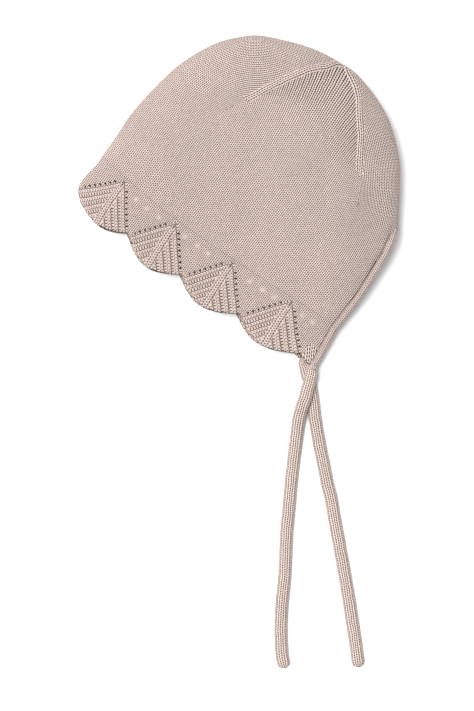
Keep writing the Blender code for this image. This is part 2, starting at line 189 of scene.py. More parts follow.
# Tubes of the ties and the neck band
TIE_ROUND_END = 0.0034
TIE_STEP = 0.0012
TIE_SIDES = 36
TIE_WALES = 8
BAND_STEP = 0.0010
BAND_SIDES = 32
BAND_WALES = 6
BAND_WIDENED = 1.04
WALE_RELIEF = 0.045
LEAST_SWELL = 0.02
PLAIN_SPOT = 0.25  # wale and course number that the tubes' end caps take everywhere

# Grids of the cloth
NEAR_ROWS = (88, 100)  # beside the neck edge, and from its end to the crown
FAR_ROWS = (50, 50)
FAR_COLUMNS = 90
TOP_COLUMNS = 206
FOLD_COLUMNS = 8
STRIP_COLUMNS = (10, 8)  # under the forehead fold, and under the nape fold
STRIP_PLACE = 0.86
GATHERED_AT_FOLDS = 0.32
NEAR_LACE_GRID = (430, 82)
FAR_LACE_GRID = (230, 44)
OUTER_ABOVE_FLOOR = 0.0001
INNER_ABOVE_FLOOR = 0.0002

# Wales and courses
WALE = 0.00221
COURSE = 0.00139
LINE_WALE = 0.0025
SPINE_WALE = 0.0029
RIB_COURSE = 1.2 * COURSE
LINE_SHOWS = 0.85  # half width that a line or a spine takes up, in its own wales
LEAN = 0.112
LEAN_ENDS = 0.5 * CAP_DEPTH
LEAN_BY_FOLD = 0.7 * LEAN
LEAN_BY_FOLD_ENDS = 0.45 * CAP_DEPTH
MIDDLE_WALE = 0.0040
FAN_STARTS = 0.60 * CAP_DEPTH
FAN_RATE = 300
COURSES_BY_ROW_END = 0.45 * CAP_DEPTH
COURSES_STRETCH_FROM = 0.62 * CAP_DEPTH
FOLD_COURSE_STRETCH = 1.25
CHARTS_MEET_ROWS = (0.045, 0.065)
FOREHEAD_MEETS = (-0.6, -0.4)
NAPE_MEETS = (0.55, 0.75)
FOREHEAD_MELT = 0.25
NAPE_MELT = 0.2
MELT_PAST_EDGING = 0.025
SECTIONS_PART_SHARES = (0.56, 0.70)
CROWN_LINE_SHARES = (0.56, 0.998)

# Relief of the cap
WAVE_HEIGHT = 0.00022
WAVES = (
    # waves across, waves in depth, phase, share of the height
    (160, 70, 0.0, 1.0),
    (-60, 210, 1.3, 1.0),
    (95, -130, 2.1, 0.7),
)
WAVES_FADE = 0.12
RIDGE_HEIGHT = 0.0008
RIDGE_HALF_WIDTH = 0.0016
RIDGE_STARTS_SHARES = (0.66, 0.78)
RIDGE_ENDS_SHARE = 0.985
LINES_START_SHARE = 0.685
PUCKERS = (
    # half width beside a line of decreases, shares of depth where it starts and is full
    (0.021, 0.72, 0.82),
    (0.015, 0.62, 0.78),
)
PUCKER_ENDS = 0.03
NECK_END_MARGIN = 0.0005
BESIDE_BAND_MARGIN = 0.0001
LEAST_DRAWN = 0.03
DRAWN_KEPT = 0.04

# Relief of the lace
LACE_PAST_SEAM = 0.0009
LACE_ROUND_FOLD = 0.0050
RIB_HEIGHT = 0.00036
RIBS_START = (-0.10, 0.15)
SPINE_HEIGHT = 1.5 * RIB_HEIGHT
SPINE_HALF_WIDTH = 0.0014
SPINE_STARTS = (0.2, 0.6)
SPINE_SHOWS_FROM = 0.4
RIM_LEVEL = 0.86
RIM_HEIGHT = 0.0003
RIM_DRAWN_IN = 0.0007
RING_HALF_WIDTH = 0.0011
RING_DEPTH = 0.00035
RINGS_TO_SEAM = 0.001
FAR_RELIEF_SHARE = 0.4
EYELET_SHOWS_NEAR = 0.92
EYELET_SHOWS_FAR = 0.8
CORNER_BULGE = 0.0024
FAR_EDGE_SHOWS = 0.0007
FOLD_CORNER_OUT = 0.0013
FOLD_CORNER_RUN = 0.014
FOLD_CORNER_ROWS = (0.004, 0.022)
CORNER_RUN = 0.016
CORNER_TO_BAND = (
    # row, how far the chin corner is drawn out to the band there
    (-0.001, 0.00220),
    (0.003, 0.00195),
    (0.008, 0.00165),
    (0.011, 0.00142),
    (0.015, 0.00105),
    (0.020, 0.00035),
    (0.024, 0.00000),
)
NUB_ROW = 0.0188
NUBS = (
    # notch between two scallops, how far past it each nub lies
    (1, -0.0075), (1, 0.0011), (1, 0.0100),
    (2, -0.0110), (2, -0.0020), (2, 0.0060),
    (3, -0.0053), (3, 0.0033), (3, 0.0111),
    (4, -0.0107), (4, -0.0036),
)
NUB_HALF_WIDTH = 0.0015
NUB_HALF_HEIGHT = 0.0013
NUB_HEIGHT = 0.00018
TUCKED_UNDER = 0.0004
TUCK_ROWS = (0.0001, 0.0006)
PROUD_AT_SEAM = 0.00006
PROUD_RUN = 0.0030
WALES_APART = 40
WELT_WALE = 0.0026
WELT_SLANT = 0.0070
WELT_COURSE = 0.0019
WELT_TOP_ROW = 0.0075

# Kinds of stitch, and how open the work is drawn, which is the strength of the painted shade in the gaps
# between stitches: 0 is none, past 1.2 the whole stitch is painted dark as a hole
PLAIN, RIBS, LINE, SPINE = 0.0, 1.0, 2.0, 2.5
CAP_OPEN = 0.64
PUCKER_OPEN = 0.50
CROWN_SIDES_OPEN = 0.04
CROWN_SIDES_MELT = 0.05
CROWN_SIDES_SHARES = (0.5, 0.65)
LINE_OPEN = 0.68
FAR_OPEN = 0.6
BAND_SHADE = 0.74
BAND_SHADE_WIDTH = 0.0011
BAND_SHADE_STARTS = (0.035, 0.070)
BAND_SHADE_ENDS = 0.084
LACE_OPEN = 0.66
NUB_SHUT = 0.48
RIBS_OPEN = 0.79
FIRST_RIB_SHUT = 0.28
FIRST_RIB_ENDS = (0.15, 0.3)
EYELET_SHADE = 0.75
EYELET_SHADE_WIDTH = 0.00075
RIM_SHADE = 0.8
RIM_SHADE_LEVELS = (0.968, 0.992)
RIM_SHADE_SIDE = (0.35, 0.60)
BAND_OPEN = 0.72
TIE_OPEN = 0.62

# Shape of a stitch: depths are shares of its height, and a sharpness is a power
WANDER_SCALE = 170
WANDER = (0.40, 0.7, 0)
LEG_RISE = 0.6
DEEP_BETWEEN = 0.50
DEEP_BESIDE = 0.68
LINE_SHALLOWER = 0.04
SPINE_SHALLOWER = 0.20
PURL_DEEP = 0.82
PURL_EDGE_DEEP = 0.62
PURL_EDGE_SHARPNESS = 6.0
PURL_LOWER = 0.15
RIB_DEEP_BETWEEN = 0.58
RIB_DEEP_BESIDE = 0.22
RIB_DEEP_SIDE = 0.32
RIB_SIDE_SHARPNESS = 3.0
GAP_DEPTHS = (0.24, 0.80)
GAP_BY_OPENNESS = 1.6
GAP_MOST = 1.25
GROOVE_FROM = 0.8
GROOVE_RATE = 2.6
GROOVE_SHARPNESS = 4.0
HOLE_FROM = 1.2
HOLE_RATE = 2.0
LINE_EDGE_SHARPNESS = 6.5
LINE_EDGE_DARK = 0.42
LINE_EDGE_LEAST = 0.04
RIBS_DIMMED = 0.11
SPINE_DIMMED = 0.13
PURL_DIMMED = 0.14

# Yarn
YARN_TONES = (
    # scale and detail of a noise, and how far it moves the tone
    (620, 3.0, 0.50),
    (2600, 2.0, 0.30),
    (28, 2.0, 0.14),
)
FIBRE_SHARE = 0.15
YARN_LIGHT = (0.64, 0.525, 0.478)
LACE_LIGHT = (0.625, 0.513, 0.467)
YARN_SHADOW = (0.045, 0.028, 0.021)
YARN_ROUGHNESS = 0.95
YARN_SHINE = 0.15
CLOTH_RELIEF = 0.0006
CORD_RELIEF = 0.0005


# Shape of the cap


def smooth_through(table, stations):
    """Every column of a table, read at the stations on a smooth cubic curve through its rows."""
    rows = np.array(table, float)
    x, columns = rows[:, 0], rows[:, 1:]
    slopes = np.gradient(columns, x, axis=0)
    stations = np.clip(np.asarray(stations, float), x[0], x[-1])
    k = np.clip(np.searchsorted(x, stations, side="right") - 1, 0, len(x) - 2)
    step = x[k + 1] - x[k]
    t = ((stations - x[k]) / step)[..., None]
    step = step[..., None]
    start, end = columns[k], columns[k + 1]
    return (
        (2 * t**3 - 3 * t**2 + 1) * start
        + (t**3 - 2 * t**2 + t) * step * slopes[k]
        + (3 * t**2 - 2 * t**3) * end
        + (t**3 - t**2) * step * slopes[k + 1]
    )


def smoothstep(x, low, high):
    """0 below low, 1 above high and 3t^2 - 2t^3 between."""
    t = np.clip((np.asarray(x, float) - low) / (high - low), 0.0, 1.0)
    return t * t * (3 - 2 * t)


def run_along(line):
    """Length of a line from its start to each of its points."""
    return np.concatenate([[0], np.cumsum(np.linalg.norm(np.diff(line, axis=0), axis=1))])


def section_at(depth):
    """Middle and half width across, and heights of crest, folds and underside, at a depth."""
    share = np.clip(np.asarray(depth, float) / CAP_DEPTH, 0.0, 1.0)
    by_angle = [(math.asin(row[0]), *row[1:]) for row in SECTIONS]
    values = smooth_through(by_angle, np.arcsin(share))
    forehead, nape = values[..., 0] * HALF_WIDTH, values[..., 1] * HALF_WIDTH
    heights = np.maximum(values[..., 2:5], 0.0) * PUFF
    return (nape - forehead) / 2, (nape + forehead) / 2, heights


def outer_point(row, place, top):
    """Point of the cap's outer surface: across, depth and height. The forehead end of a course is
    drawn back by the fourth power of its distance from the neck. The top layer is a dome, the square
    root of one less the cube of the place; the lower one is a tray with a quarter-round rim."""
    row, place = np.broadcast_arrays(np.asarray(row, float), np.asarray(place, float))
    depth = row + FACE_DRAWN_BACK * ((1 - place) / 2) ** 4 * (1 - row / CAP_DEPTH)
    middle, half, heights = section_at(depth)
    crest, fold, floor = heights[..., 0], heights[..., 1], heights[..., 2]
    reach = np.clip(np.abs(place), 0.0, 1.0)
    dome = np.sqrt(np.clip(1 - reach**TOP_ROUNDNESS, 0.0, 1.0))
    past_flat = np.clip((reach - FLAT_SHARE) / (1 - FLAT_SHARE), 0.0, 1.0)
    tray = np.sqrt(1 - past_flat**2)
    height = np.where(top, fold + (crest - fold) * dome, fold - (fold - floor) * tray)
    return np.stack([middle + place * half, depth, height], axis=-1)


def half_width_at(depth):
    """Half the width across at a depth."""
    return section_at(depth)[1]


def tucked_in(row, top):
    """How far a layer's neck edge lies inside the outline: the far chin corner is tucked in."""
    share = np.clip(1 - np.asarray(row, float) / NECK_EDGE, 0.0, 1.0)
    return np.where(top, 0.0, FAR_CORNER_TUCKED_IN) * share**2


def neck_place(row, top):
    """Place of the cap's neck edge on a row, one band's width inside the outline."""
    half = np.maximum(half_width_at(row), LEAST_HALF_WIDTH)
    return 1 - (BAND_DIAMETER + CLEARANCE + tucked_in(row, top)) / half


def neck_reach(row, top):
    """Place at which a layer's cloth meets the neck band. It is the neck edge, but where the band
    turns round the nape fold the cloth follows it: for the band's height there, the curve of the
    dome or of the tray is solved for the place."""
    near = outer_point(row, neck_place(row, True), True)[..., 2]
    far = outer_point(row, neck_place(row, False), False)[..., 2]
    top_of_loop = NECK_EDGE - BAND_DIAMETER / 2 - CLEARANCE
    cosine = np.clip((row + BAND_PAST_EDGE) / (top_of_loop + BAND_PAST_EDGE), 0.0, 1.0)
    cosine = cosine ** (1 / BAND_LOOP_SHARPNESS)
    moved = (near - far - WALL) / 2 * (1 - np.sqrt(1 - cosine**2))
    crest, fold, floor = np.moveaxis(section_at(row)[2], -1, 0)
    if top:
        dome = np.clip((near - moved - fold) / (crest - fold), 0.0, 1.0)
        place = (1 - dome**2) ** (1 / TOP_ROUNDNESS)
    else:
        tray = np.clip((fold - far - moved) / (fold - floor), 0.0, 1.0)
        place = FLAT_SHARE + (1 - FLAT_SHARE) * np.sqrt(1 - tray**2)
    return np.maximum(neck_place(row, top), place)


def turned(points):
    """Turns (across, depth, height) by the angle of the depth axis into x, y and z."""
    across, depth, height = np.moveaxis(np.asarray(points, float), -1, 0)
    c, s = math.cos(DEPTH_AXIS_ANGLE), math.sin(DEPTH_AXIS_ANGLE)
    return np.stack([across * s + depth * c, depth * s - across * c, height], axis=-1)


def shift_of_frame():
    """How far the cap's own origin lies from the row frame's, from the box of the solid cap."""
    row = np.linspace(EDGING_DEPTH + CLEARANCE, CAP_DEPTH, 400)[:, None]
    points = turned(outer_point(row, np.linspace(-1, 1, 101)[None, :], True)).reshape(-1, 3)
    low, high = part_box("cap_body")
    middle = (np.array(low) + np.array(high)) / 2 - (points.min(0) + points.max(0)) / 2
    return np.array([middle[0], middle[1], 0.0])


SHIFT = shift_of_frame()


def to_world(points):
    """Points of the cap's own axes, turned and shifted into the part's frame."""
    return turned(points) + SHIFT


# Stage: camera, light and floor


def make_camera():
    """A camera that looks straight down; the page's height is sharp at the height of the edging."""
    data = bpy.data.cameras.new("camera")
    data.sensor_fit = "VERTICAL"
    data.sensor_width = SENSOR
    data.sensor_height = SENSOR
    data.lens = SENSOR * (CAMERA_HEIGHT - SHARP_AT_HEIGHT) / PAGE_HEIGHT
    data.clip_end = 5 * CAMERA_HEIGHT
    camera = bpy.data.objects.new("camera", data)
    camera.location = (*PAGE_MIDDLE, CAMERA_HEIGHT)
    bpy.context.scene.collection.objects.link(camera)
    bpy.context.scene.camera = camera


def make_stage():
    """A wide white floor, even white light from all round and a soft lamp at the upper left."""
    mesh = bpy.data.meshes.new("floor")
    size = FLOOR_HALF_SIZE
    corners = [(-size, -size, 0), (size, -size, 0), (size, size, 0), (-size, size, 0)]
    mesh.from_pydata(corners, [], [(0, 1, 2, 3)])
    floor = bpy.data.objects.new("floor", mesh)
    floor.location = (0, 0, -FLOOR_BELOW)
    bpy.context.scene.collection.objects.link(floor)
    material = bpy.data.materials.new("floor_white")
    material.use_nodes = True
    shader = material.node_tree.nodes["Principled BSDF"]
    shader.inputs["Base Color"].default_value = FLOOR_WHITE
    shader.inputs["Roughness"].default_value = FLOOR_ROUGHNESS
    shader.inputs["Specular IOR Level"].default_value = FLOOR_SHINE
    mesh.materials.append(material)

    world = bpy.data.worlds.new("studio")
    bpy.context.scene.world = world
    world.use_nodes = True
    background = world.node_tree.nodes["Background"]
    background.inputs["Color"].default_value = (1.0, 1.0, 1.0, 1)
    background.inputs["Strength"].default_value = ROOM_LIGHT

    lamp_data = bpy.data.lights.new("key", "SUN")
    lamp_data.energy = LAMP_STRENGTH
    lamp_data.angle = LAMP_SOFTNESS
    lamp = bpy.data.objects.new("key", lamp_data)
    lamp.rotation_euler = LAMP_TURN
    bpy.context.scene.collection.objects.link(lamp)
    bpy.context.scene.view_settings.view_transform = "Standard"


# Meshes


def closed_shell(outer, inner, quads):
    """Corners and faces of a sheet with thickness: the outer faces, the inner ones turned round, and
    a rim face at every edge that only one outer face has. Also says which outer face each rim face
    belongs to. The whole is turned outwards by the sign of its volume."""
    count = len(outer)
    starts, ends = quads.reshape(-1), np.roll(quads, -1, axis=1).reshape(-1)
    forward, backward = starts * count + ends, ends * count + starts
    alone = ~np.isin(forward, backward)
    owner = np.repeat(np.arange(len(quads)), 4)[alone]
    a, b = starts[alone], ends[alone]
    rim = np.stack([b, a, a + count, b + count], axis=1)
    points = np.concatenate([outer, inner])
    faces = np.concatenate([quads, quads[:, ::-1] + count, rim])
    p, q, r = points[faces[:, 0]], points[faces[:, 1]], points[faces[:, 2]]
    s = points[faces[:, 3]]
    volume = (p * np.cross(q, r)).sum() + (p * np.cross(r, s)).sum()
    return points, faces, owner, volume < 0


def make_mesh(name, points, faces, uv, extra, flat_faces, material):
    """An object at the origin from whole arrays: points, faces of four corners, stitch coordinates and
    the pair (kind of stitch, strength of painted gap shade) of each corner, and which faces are shaded
    flat."""
    used, faces = np.unique(faces, return_inverse=True)
    faces = faces.reshape(-1, 4)
    points = points[used]
    mesh = bpy.data.meshes.new(name)
    mesh.vertices.add(len(points))
    mesh.vertices.foreach_set("co", points.astype(np.float32).ravel())
    mesh.loops.add(faces.size)
    mesh.loops.foreach_set("vertex_index", faces.astype(np.int32).ravel())
    mesh.polygons.add(len(faces))
    mesh.polygons.foreach_set("loop_start", np.arange(len(faces), dtype=np.int32) * 4)
    mesh.update(calc_edges=True)
    mesh.polygons.foreach_set("use_smooth", ~flat_faces)
    for layer, values in (("Stitches", uv), ("Work", extra)):
        made = mesh.uv_layers.new(name=layer)
        made.uv.foreach_set("vector", values.astype(np.float32).ravel())
    mesh.uv_layers.active = mesh.uv_layers["Stitches"]
    mesh.materials.append(material)
    mesh.validate()
    piece = bpy.data.objects.new(name, mesh)
    bpy.context.scene.collection.objects.link(piece)
    return piece


def sheet_piece(name, outer, inner, quads, charts, chart_of_face, work, material):
    """A sheet with thickness. Each face takes its stitch coordinates from one chart; work holds the pair
    (kind of stitch, strength of painted gap shade) of every point, once for each chart."""
    points, faces, owner, inside_out = closed_shell(outer, inner, quads)
    count = len(outer)
    chart = np.concatenate([chart_of_face, chart_of_face, chart_of_face[owner]])
    corner = faces % count
    uv = charts[chart[:, None], corner]
    extra = work[chart[:, None], corner]
    if inside_out:
        faces, uv, extra = faces[:, ::-1], uv[:, ::-1], extra[:, ::-1]
    flat = np.arange(len(faces)) >= 2 * len(quads)
    return make_mesh(name, points, faces, uv, extra, flat, material)


def grid_quads(rows, columns):
    """Four corners of each face of a grid, as numbers of its points."""
    here = (np.arange(rows - 1)[:, None] * columns + np.arange(columns - 1)[None, :]).reshape(-1)
    return np.stack([here, here + 1, here + columns + 1, here + columns], axis=1)


def at_faces(values, quads):
    """Mean of a grid's values over the four corners of each face."""
    return values.reshape(-1)[quads].mean(1)


def work_of(kind, gap_shade):
    """The pair (kind of stitch, strength of painted gap shade) of every point of a grid."""
    return np.stack([np.full_like(gap_shade, kind), gap_shade], axis=-1).reshape(-1, 2)


def keep_above(points, least):
    """Lifts the points that lie lower than the least height onto it."""
    points[..., 2] = np.maximum(points[..., 2], least)
    return points


def grid_normals(points):
    """Unit normals of a grid of points from the differences along its rows and columns."""
    along, down = np.gradient(points, axis=1), np.gradient(points, axis=0)
    normal = np.cross(along, down)
    size = np.linalg.norm(normal, axis=-1, keepdims=True)
    return normal / np.maximum(size, 1e-12)


def outwards(normals, top):
    """Normals of a whole grid, all turned over together if those of its top layer point down, or
    those of its lower layer up."""
    up = np.where(top, normals[..., 2], -normals[..., 2]).mean()
    return normals if up > 0 else -normals


def beside_line(points, line):
    """Signed distance of plan points from a line, positive on its right, and the run along it."""
    run = run_along(line)
    tangent = np.gradient(line, axis=0)
    tangent /= np.linalg.norm(tangent, axis=1, keepdims=True)
    flat = points.reshape(-1, 2)
    nearest = np.empty(len(flat), int)
    at_once = 4000
    for start in range(0, len(flat), at_once):
        part = flat[start : start + at_once]
        gaps = ((part[:, None, :] - line[None, :, :]) ** 2).sum(-1)
        nearest[start : start + at_once] = gaps.argmin(1)
    gap, t = flat - line[nearest], tangent[nearest]
    side = gap[:, 0] * t[:, 1] - gap[:, 1] * t[:, 0]
    along = run[nearest] + (gap * t).sum(1)
    return side.reshape(points.shape[:-1]), along.reshape(points.shape[:-1])


# Stitch coordinates of the near side


def fold_line(side):
    """Plan of one fold, from the face edge to the crown, evened out by a curve of the fifth degree so
    that the stitches beside it don't crowd, and how far the courses have come along it. The courses
    follow the rows at first and then the line, and are longer towards the crown."""
    row = CAP_DEPTH * np.sin(np.linspace(0, math.pi / 2, 700))
    line = outer_point(row, float(side), True)[:, :2]
    run = run_along(line)
    degree = 5
    line = np.stack([np.polyval(np.polyfit(run, line[:, k], degree), run) for k in (0, 1)], axis=-1)
    step = np.linalg.norm(np.diff(line, axis=0), axis=1)
    course = np.where(row[1:] < COURSES_BY_ROW_END, np.diff(row), step)
    course = np.where(row[1:] < COURSES_STRETCH_FROM, course, course / FOLD_COURSE_STRETCH)
    return line, np.concatenate([[0], np.cumsum(course)])


def crown_line(column):
    """Plan of one line of decreases, from a little before it starts to the crown."""
    share = np.linspace(*CROWN_LINE_SHARES, 500)
    place = smooth_through(CROWN_LINES, share)[:, column]
    return outer_point(share * CAP_DEPTH, place, True)[:, :2]


def fold_chart(plan, extra, top, side, column):
    """Distance in from one fold over the cloth, how far the courses have come, and the run along the
    fold. Under the cap the distance goes on past the fold, as its mirror image. The extra length is
    what the cloth's rise and fall adds, and the column is the one that lies on the fold."""
    line, courses = fold_line(side)
    inside, run = beside_line(plan, line)
    at_fold = inside[:, column : column + 1]
    inward = np.where(top, inside, 2 * at_fold - inside)
    inward = inward + extra - extra[:, column : column + 1]
    return inward, np.interp(run, run_along(line), courses), run


def middle_chart(across, depth, row):
    """Distance from the middle section's straight wale, and how far the courses have come. The wales
    lean as far as half the depth. Past where the fan starts, their spacing grows by the square of
    the depth, and the courses bend as a parabola to stay square to them."""
    past = np.maximum(depth - FAN_STARTS, 0)
    fan = 0.5 * FAN_RATE * past**2
    leaned = across - LEAN * np.minimum(depth, LEAN_ENDS) - MIDDLE_WALE
    return leaned / (1 + fan), row + 0.5 * (FAN_RATE * past) * leaned**2 / (1 + fan)


def stitch_charts(points, place, row, top):
    """Five charts of (wale, course) over the near side: the forehead section, whose wales run along
    the forehead fold; the middle one, whose wales lean a little and fan out towards the crown; the
    nape section, whose wales run along the nape fold; and the two raised lines of decreases. Below
    the crown the first three melt into one, and at the edging that one is the middle one's alone.
    Also gives the places of the two lines, and each point's distance beside them."""
    plan = points[..., :2]
    step = np.diff(points, axis=1)
    extra = np.linalg.norm(step, axis=-1) - np.linalg.norm(step[..., :2], axis=-1)
    extra = np.concatenate([np.zeros_like(extra[:, :1]), np.cumsum(extra, axis=1)], axis=1)
    forehead_fold = int(np.argmax(place[0] <= -1 + 1e-9))
    nape_fold = place.shape[1] - 1 - int(np.argmax(place[-1, ::-1] >= 1 - 1e-9))
    forehead_u, forehead_v, run = fold_chart(plan, extra, top, -1, forehead_fold)
    forehead_u = forehead_u - LEAN_BY_FOLD * np.minimum(run, LEAN_BY_FOLD_ENDS)
    nape_u, nape_v, _ = fold_chart(plan, extra, top, 1, nape_fold)
    middle_u, middle_v = middle_chart(points[..., 0], points[..., 1], row)

    def meet(values, low_place, high_place):
        """Mean difference between the middle chart and another one where the two meet."""
        window = (place > low_place) & (place < high_place) & top
        window &= (row > CHARTS_MEET_ROWS[0]) & (row < CHARTS_MEET_ROWS[1])
        return (middle_u - values)[window].mean()

    forehead_u = forehead_u + meet(forehead_u, *FOREHEAD_MEETS)
    nape_u = nape_u + meet(nape_u, *NAPE_MEETS)
    lines = smooth_through(CROWN_LINES, np.clip(row / CAP_DEPTH, CROWN_LINES[0][0], 1.0))
    to_forehead = 1 - smoothstep(place, lines[..., 0] - FOREHEAD_MELT, lines[..., 0] + FOREHEAD_MELT)
    to_nape = smoothstep(place, lines[..., 1] - NAPE_MELT, lines[..., 1] + NAPE_MELT)
    past_edging = smoothstep(row, EDGING_DEPTH, EDGING_DEPTH + MELT_PAST_EDGING)
    to_forehead, to_nape = to_forehead * past_edging, to_nape * past_edging
    to_middle = 1 - to_forehead - to_nape
    whole_u = to_forehead * forehead_u + to_nape * nape_u + to_middle * middle_u
    whole_v = to_forehead * forehead_v + to_nape * nape_v + to_middle * middle_v
    own = smoothstep(points[..., 1] / CAP_DEPTH, *SECTIONS_PART_SHARES)
    charts = []
    for u, v in ((forehead_u, forehead_v), (middle_u, middle_v), (nape_u, nape_v)):
        mixed_u, mixed_v = whole_u + own * (u - whole_u), whole_v + own * (v - whole_v)
        charts.append(np.stack([mixed_u / WALE, mixed_v / COURSE], axis=-1))
    beside = []
    for column in (0, 1):
        side, run = beside_line(plan, crown_line(column))
        beside.append(side)
        charts.append(np.stack([side / LINE_WALE + 0.5, run / RIB_COURSE], axis=-1))
    return np.stack(charts), lines, beside


def gentle_waves(across, depth):
    """Soft unevenness of a laid knit: three long crossed waves, 0.6 mm high where all of them add up."""
    return WAVE_HEIGHT * sum(
        part * np.sin(across * by_across + depth * by_depth + phase)
        for by_across, by_depth, phase, part in WAVES
    )


def nub_mask(distance, row):
    """Up to 1 on each of the small smooth nubs that stand in a row between the scallops: a bell curve
    of the distance and the row, e to the power of minus the sum of their squares."""
    mask = np.zeros(np.broadcast(distance, row).shape)
    for notch, past in NUBS:
        aside = (distance - notch * scallop_width() - past) / NUB_HALF_WIDTH
        mask += np.exp(-(aside**2) - ((row - NUB_ROW) / NUB_HALF_HEIGHT) ** 2)
    return np.clip(mask, 0, 1)


# Pieces of the cap


def cap_rows(beside_neck, to_crown):
    """Rows of the cap from the edging to the crown: even ones beside the neck edge, and past its end
    ones that gather towards the crown as a sine does."""
    low = np.linspace(EDGING_DEPTH, NECK_EDGE, beside_neck)
    turn = math.asin(NECK_EDGE / CAP_DEPTH)
    high = CAP_DEPTH * np.sin(np.linspace(turn, math.pi / 2, to_crown))[1:]
    return np.concatenate([low, high])[:, None]


def near_columns(neck):
    """Places and layers across the near piece: a strip under the forehead fold, the top layer from
    fold to fold, and a strip under the nape fold; columns gather at the folds. Also gives the
    number of the column on the neck edge."""
    under_forehead, under_nape = STRIP_COLUMNS
    t = np.linspace(0, 1, under_forehead + 1)[:-1]
    left = -STRIP_PLACE - (1 - STRIP_PLACE) * (1 - (1 - t) ** 2)
    t = np.linspace(0, 1, TOP_COLUMNS)
    gathered = (1 - GATHERED_AT_FOLDS) * t + GATHERED_AT_FOLDS * (1 - np.cos(math.pi * t)) / 2
    top_layer = -1 + (neck + 1) * gathered[None, :]
    t = np.linspace(0, 1, FOLD_COLUMNS + 1)[1:]
    fold = neck + (1 - neck) * (1 - (1 - t[None, :]) ** 2)
    t = np.linspace(0, 1, under_nape + 1)[1:]
    right = 1 - (1 - STRIP_PLACE) * t**2
    place = np.concatenate([
        np.broadcast_to(left, (len(neck), under_forehead)),
        top_layer,
        fold,
        np.broadcast_to(right, (len(neck), under_nape)),
    ], axis=1)
    top = np.zeros(place.shape, bool)
    top[:, under_forehead : under_forehead + TOP_COLUMNS + FOLD_COLUMNS] = True
    return place, top, under_forehead + TOP_COLUMNS - 1


def between_columns(values, column):
    """Values of a grid read at columns that may lie between its own, on straight lines."""
    low = np.minimum(column.astype(int), values.shape[1] - 2)
    t = column - low
    t = t.reshape(t.shape + (1,) * (values.ndim - 2))
    rows = np.arange(len(values))[:, None]
    return values[rows, low] * (1 - t) + values[rows, low + 1] * t


def columns_to_band(place, row, neck_column):
    """Where each column of the near side is read, so that the cloth ends at the neck band. Beside the
    band, the columns past the neck edge are drawn back to where the band lies; they gather at the
    fold as a square does, so a square root finds their share. Also gives that share, and which
    points lie beside the band."""
    edge = neck_place(row, True)
    to_fold = np.clip((neck_reach(row, True) - edge) / (1 - edge), 0.0, 1.0)
    drawn = np.maximum(1 - np.sqrt(1 - to_fold), LEAST_DRAWN)
    column = np.broadcast_to(np.arange(place.shape[1], dtype=float), place.shape)
    past_neck = np.clip(column - neck_column, 0, FOLD_COLUMNS)
    below_end = row < NECK_EDGE - BESIDE_BAND_MARGIN
    column = np.where(below_end, np.minimum(column, neck_column) + past_neck * drawn, column)
    return column, drawn, below_end


def puckers(place, share, lines, beside, top):
    """Where the puckers get painted shade: 1 in the open, drawn-up cloth close beside a line of
    decreases, a bell curve of the distance from it, and 0 outside the middle section."""
    puckered = np.zeros_like(place)
    for side, (half_width, starts, full) in zip(beside, PUCKERS):
        close = np.exp(-((side / half_width) ** 2)) * smoothstep(share, starts, full)
        puckered = np.maximum(puckered, close)
    puckered = puckered * top
    puckered *= smoothstep(place - lines[..., 0], 0.0, PUCKER_ENDS)
    puckered *= smoothstep(lines[..., 1] - place, 0.0, PUCKER_ENDS)
    return puckered


def near_gap_shade(place, share, row, lines, beside, top, below_end):
    """How open the near side's stitches are drawn, which is the strength of their painted gap shade: more
    so in the puckers and a little at the crown's two sides, and painted shade in the groove along the
    neck band, by a bell curve of the distance from it."""
    gap_shade = CAP_OPEN + PUCKER_OPEN * puckers(place, share, lines, beside, top)
    by_fold = 1 - smoothstep(place, lines[..., 0] - CROWN_SIDES_MELT, lines[..., 0])
    by_fold += smoothstep(place, lines[..., 1], lines[..., 1] + CROWN_SIDES_MELT)
    gap_shade += CROWN_SIDES_OPEN * by_fold * smoothstep(share, *CROWN_SIDES_SHARES)
    # Painted shade in the groove between the cloth and the neck band
    from_band = (place - neck_place(row, True)) * half_width_at(row)
    by_band = np.exp(-((from_band / BAND_SHADE_WIDTH) ** 2)) * top * below_end
    by_band = by_band * (1 - smoothstep(row, BAND_SHADE_ENDS, NECK_EDGE))
    return gap_shade + BAND_SHADE * by_band * smoothstep(row, *BAND_SHADE_STARTS)


def near_section(place, share, lines, beside, top, quads):
    """Number of each face's chart: forehead, middle or nape section, or a line of decreases."""
    at = at_faces(place, quads)
    past_nape_line = at > at_faces(lines[..., 1], quads)
    section = np.where(at < at_faces(lines[..., 0], quads), 0, np.where(past_nape_line, 2, 1))
    for number, side in enumerate(beside):
        on_line = np.abs(at_faces(side, quads)) < LINE_SHOWS * LINE_WALE
        on_line &= (at_faces(share, quads) > LINES_START_SHARE) & (at_faces(top, quads) > 0.9)
        section = np.where(on_line, 3 + number, section)
    return section


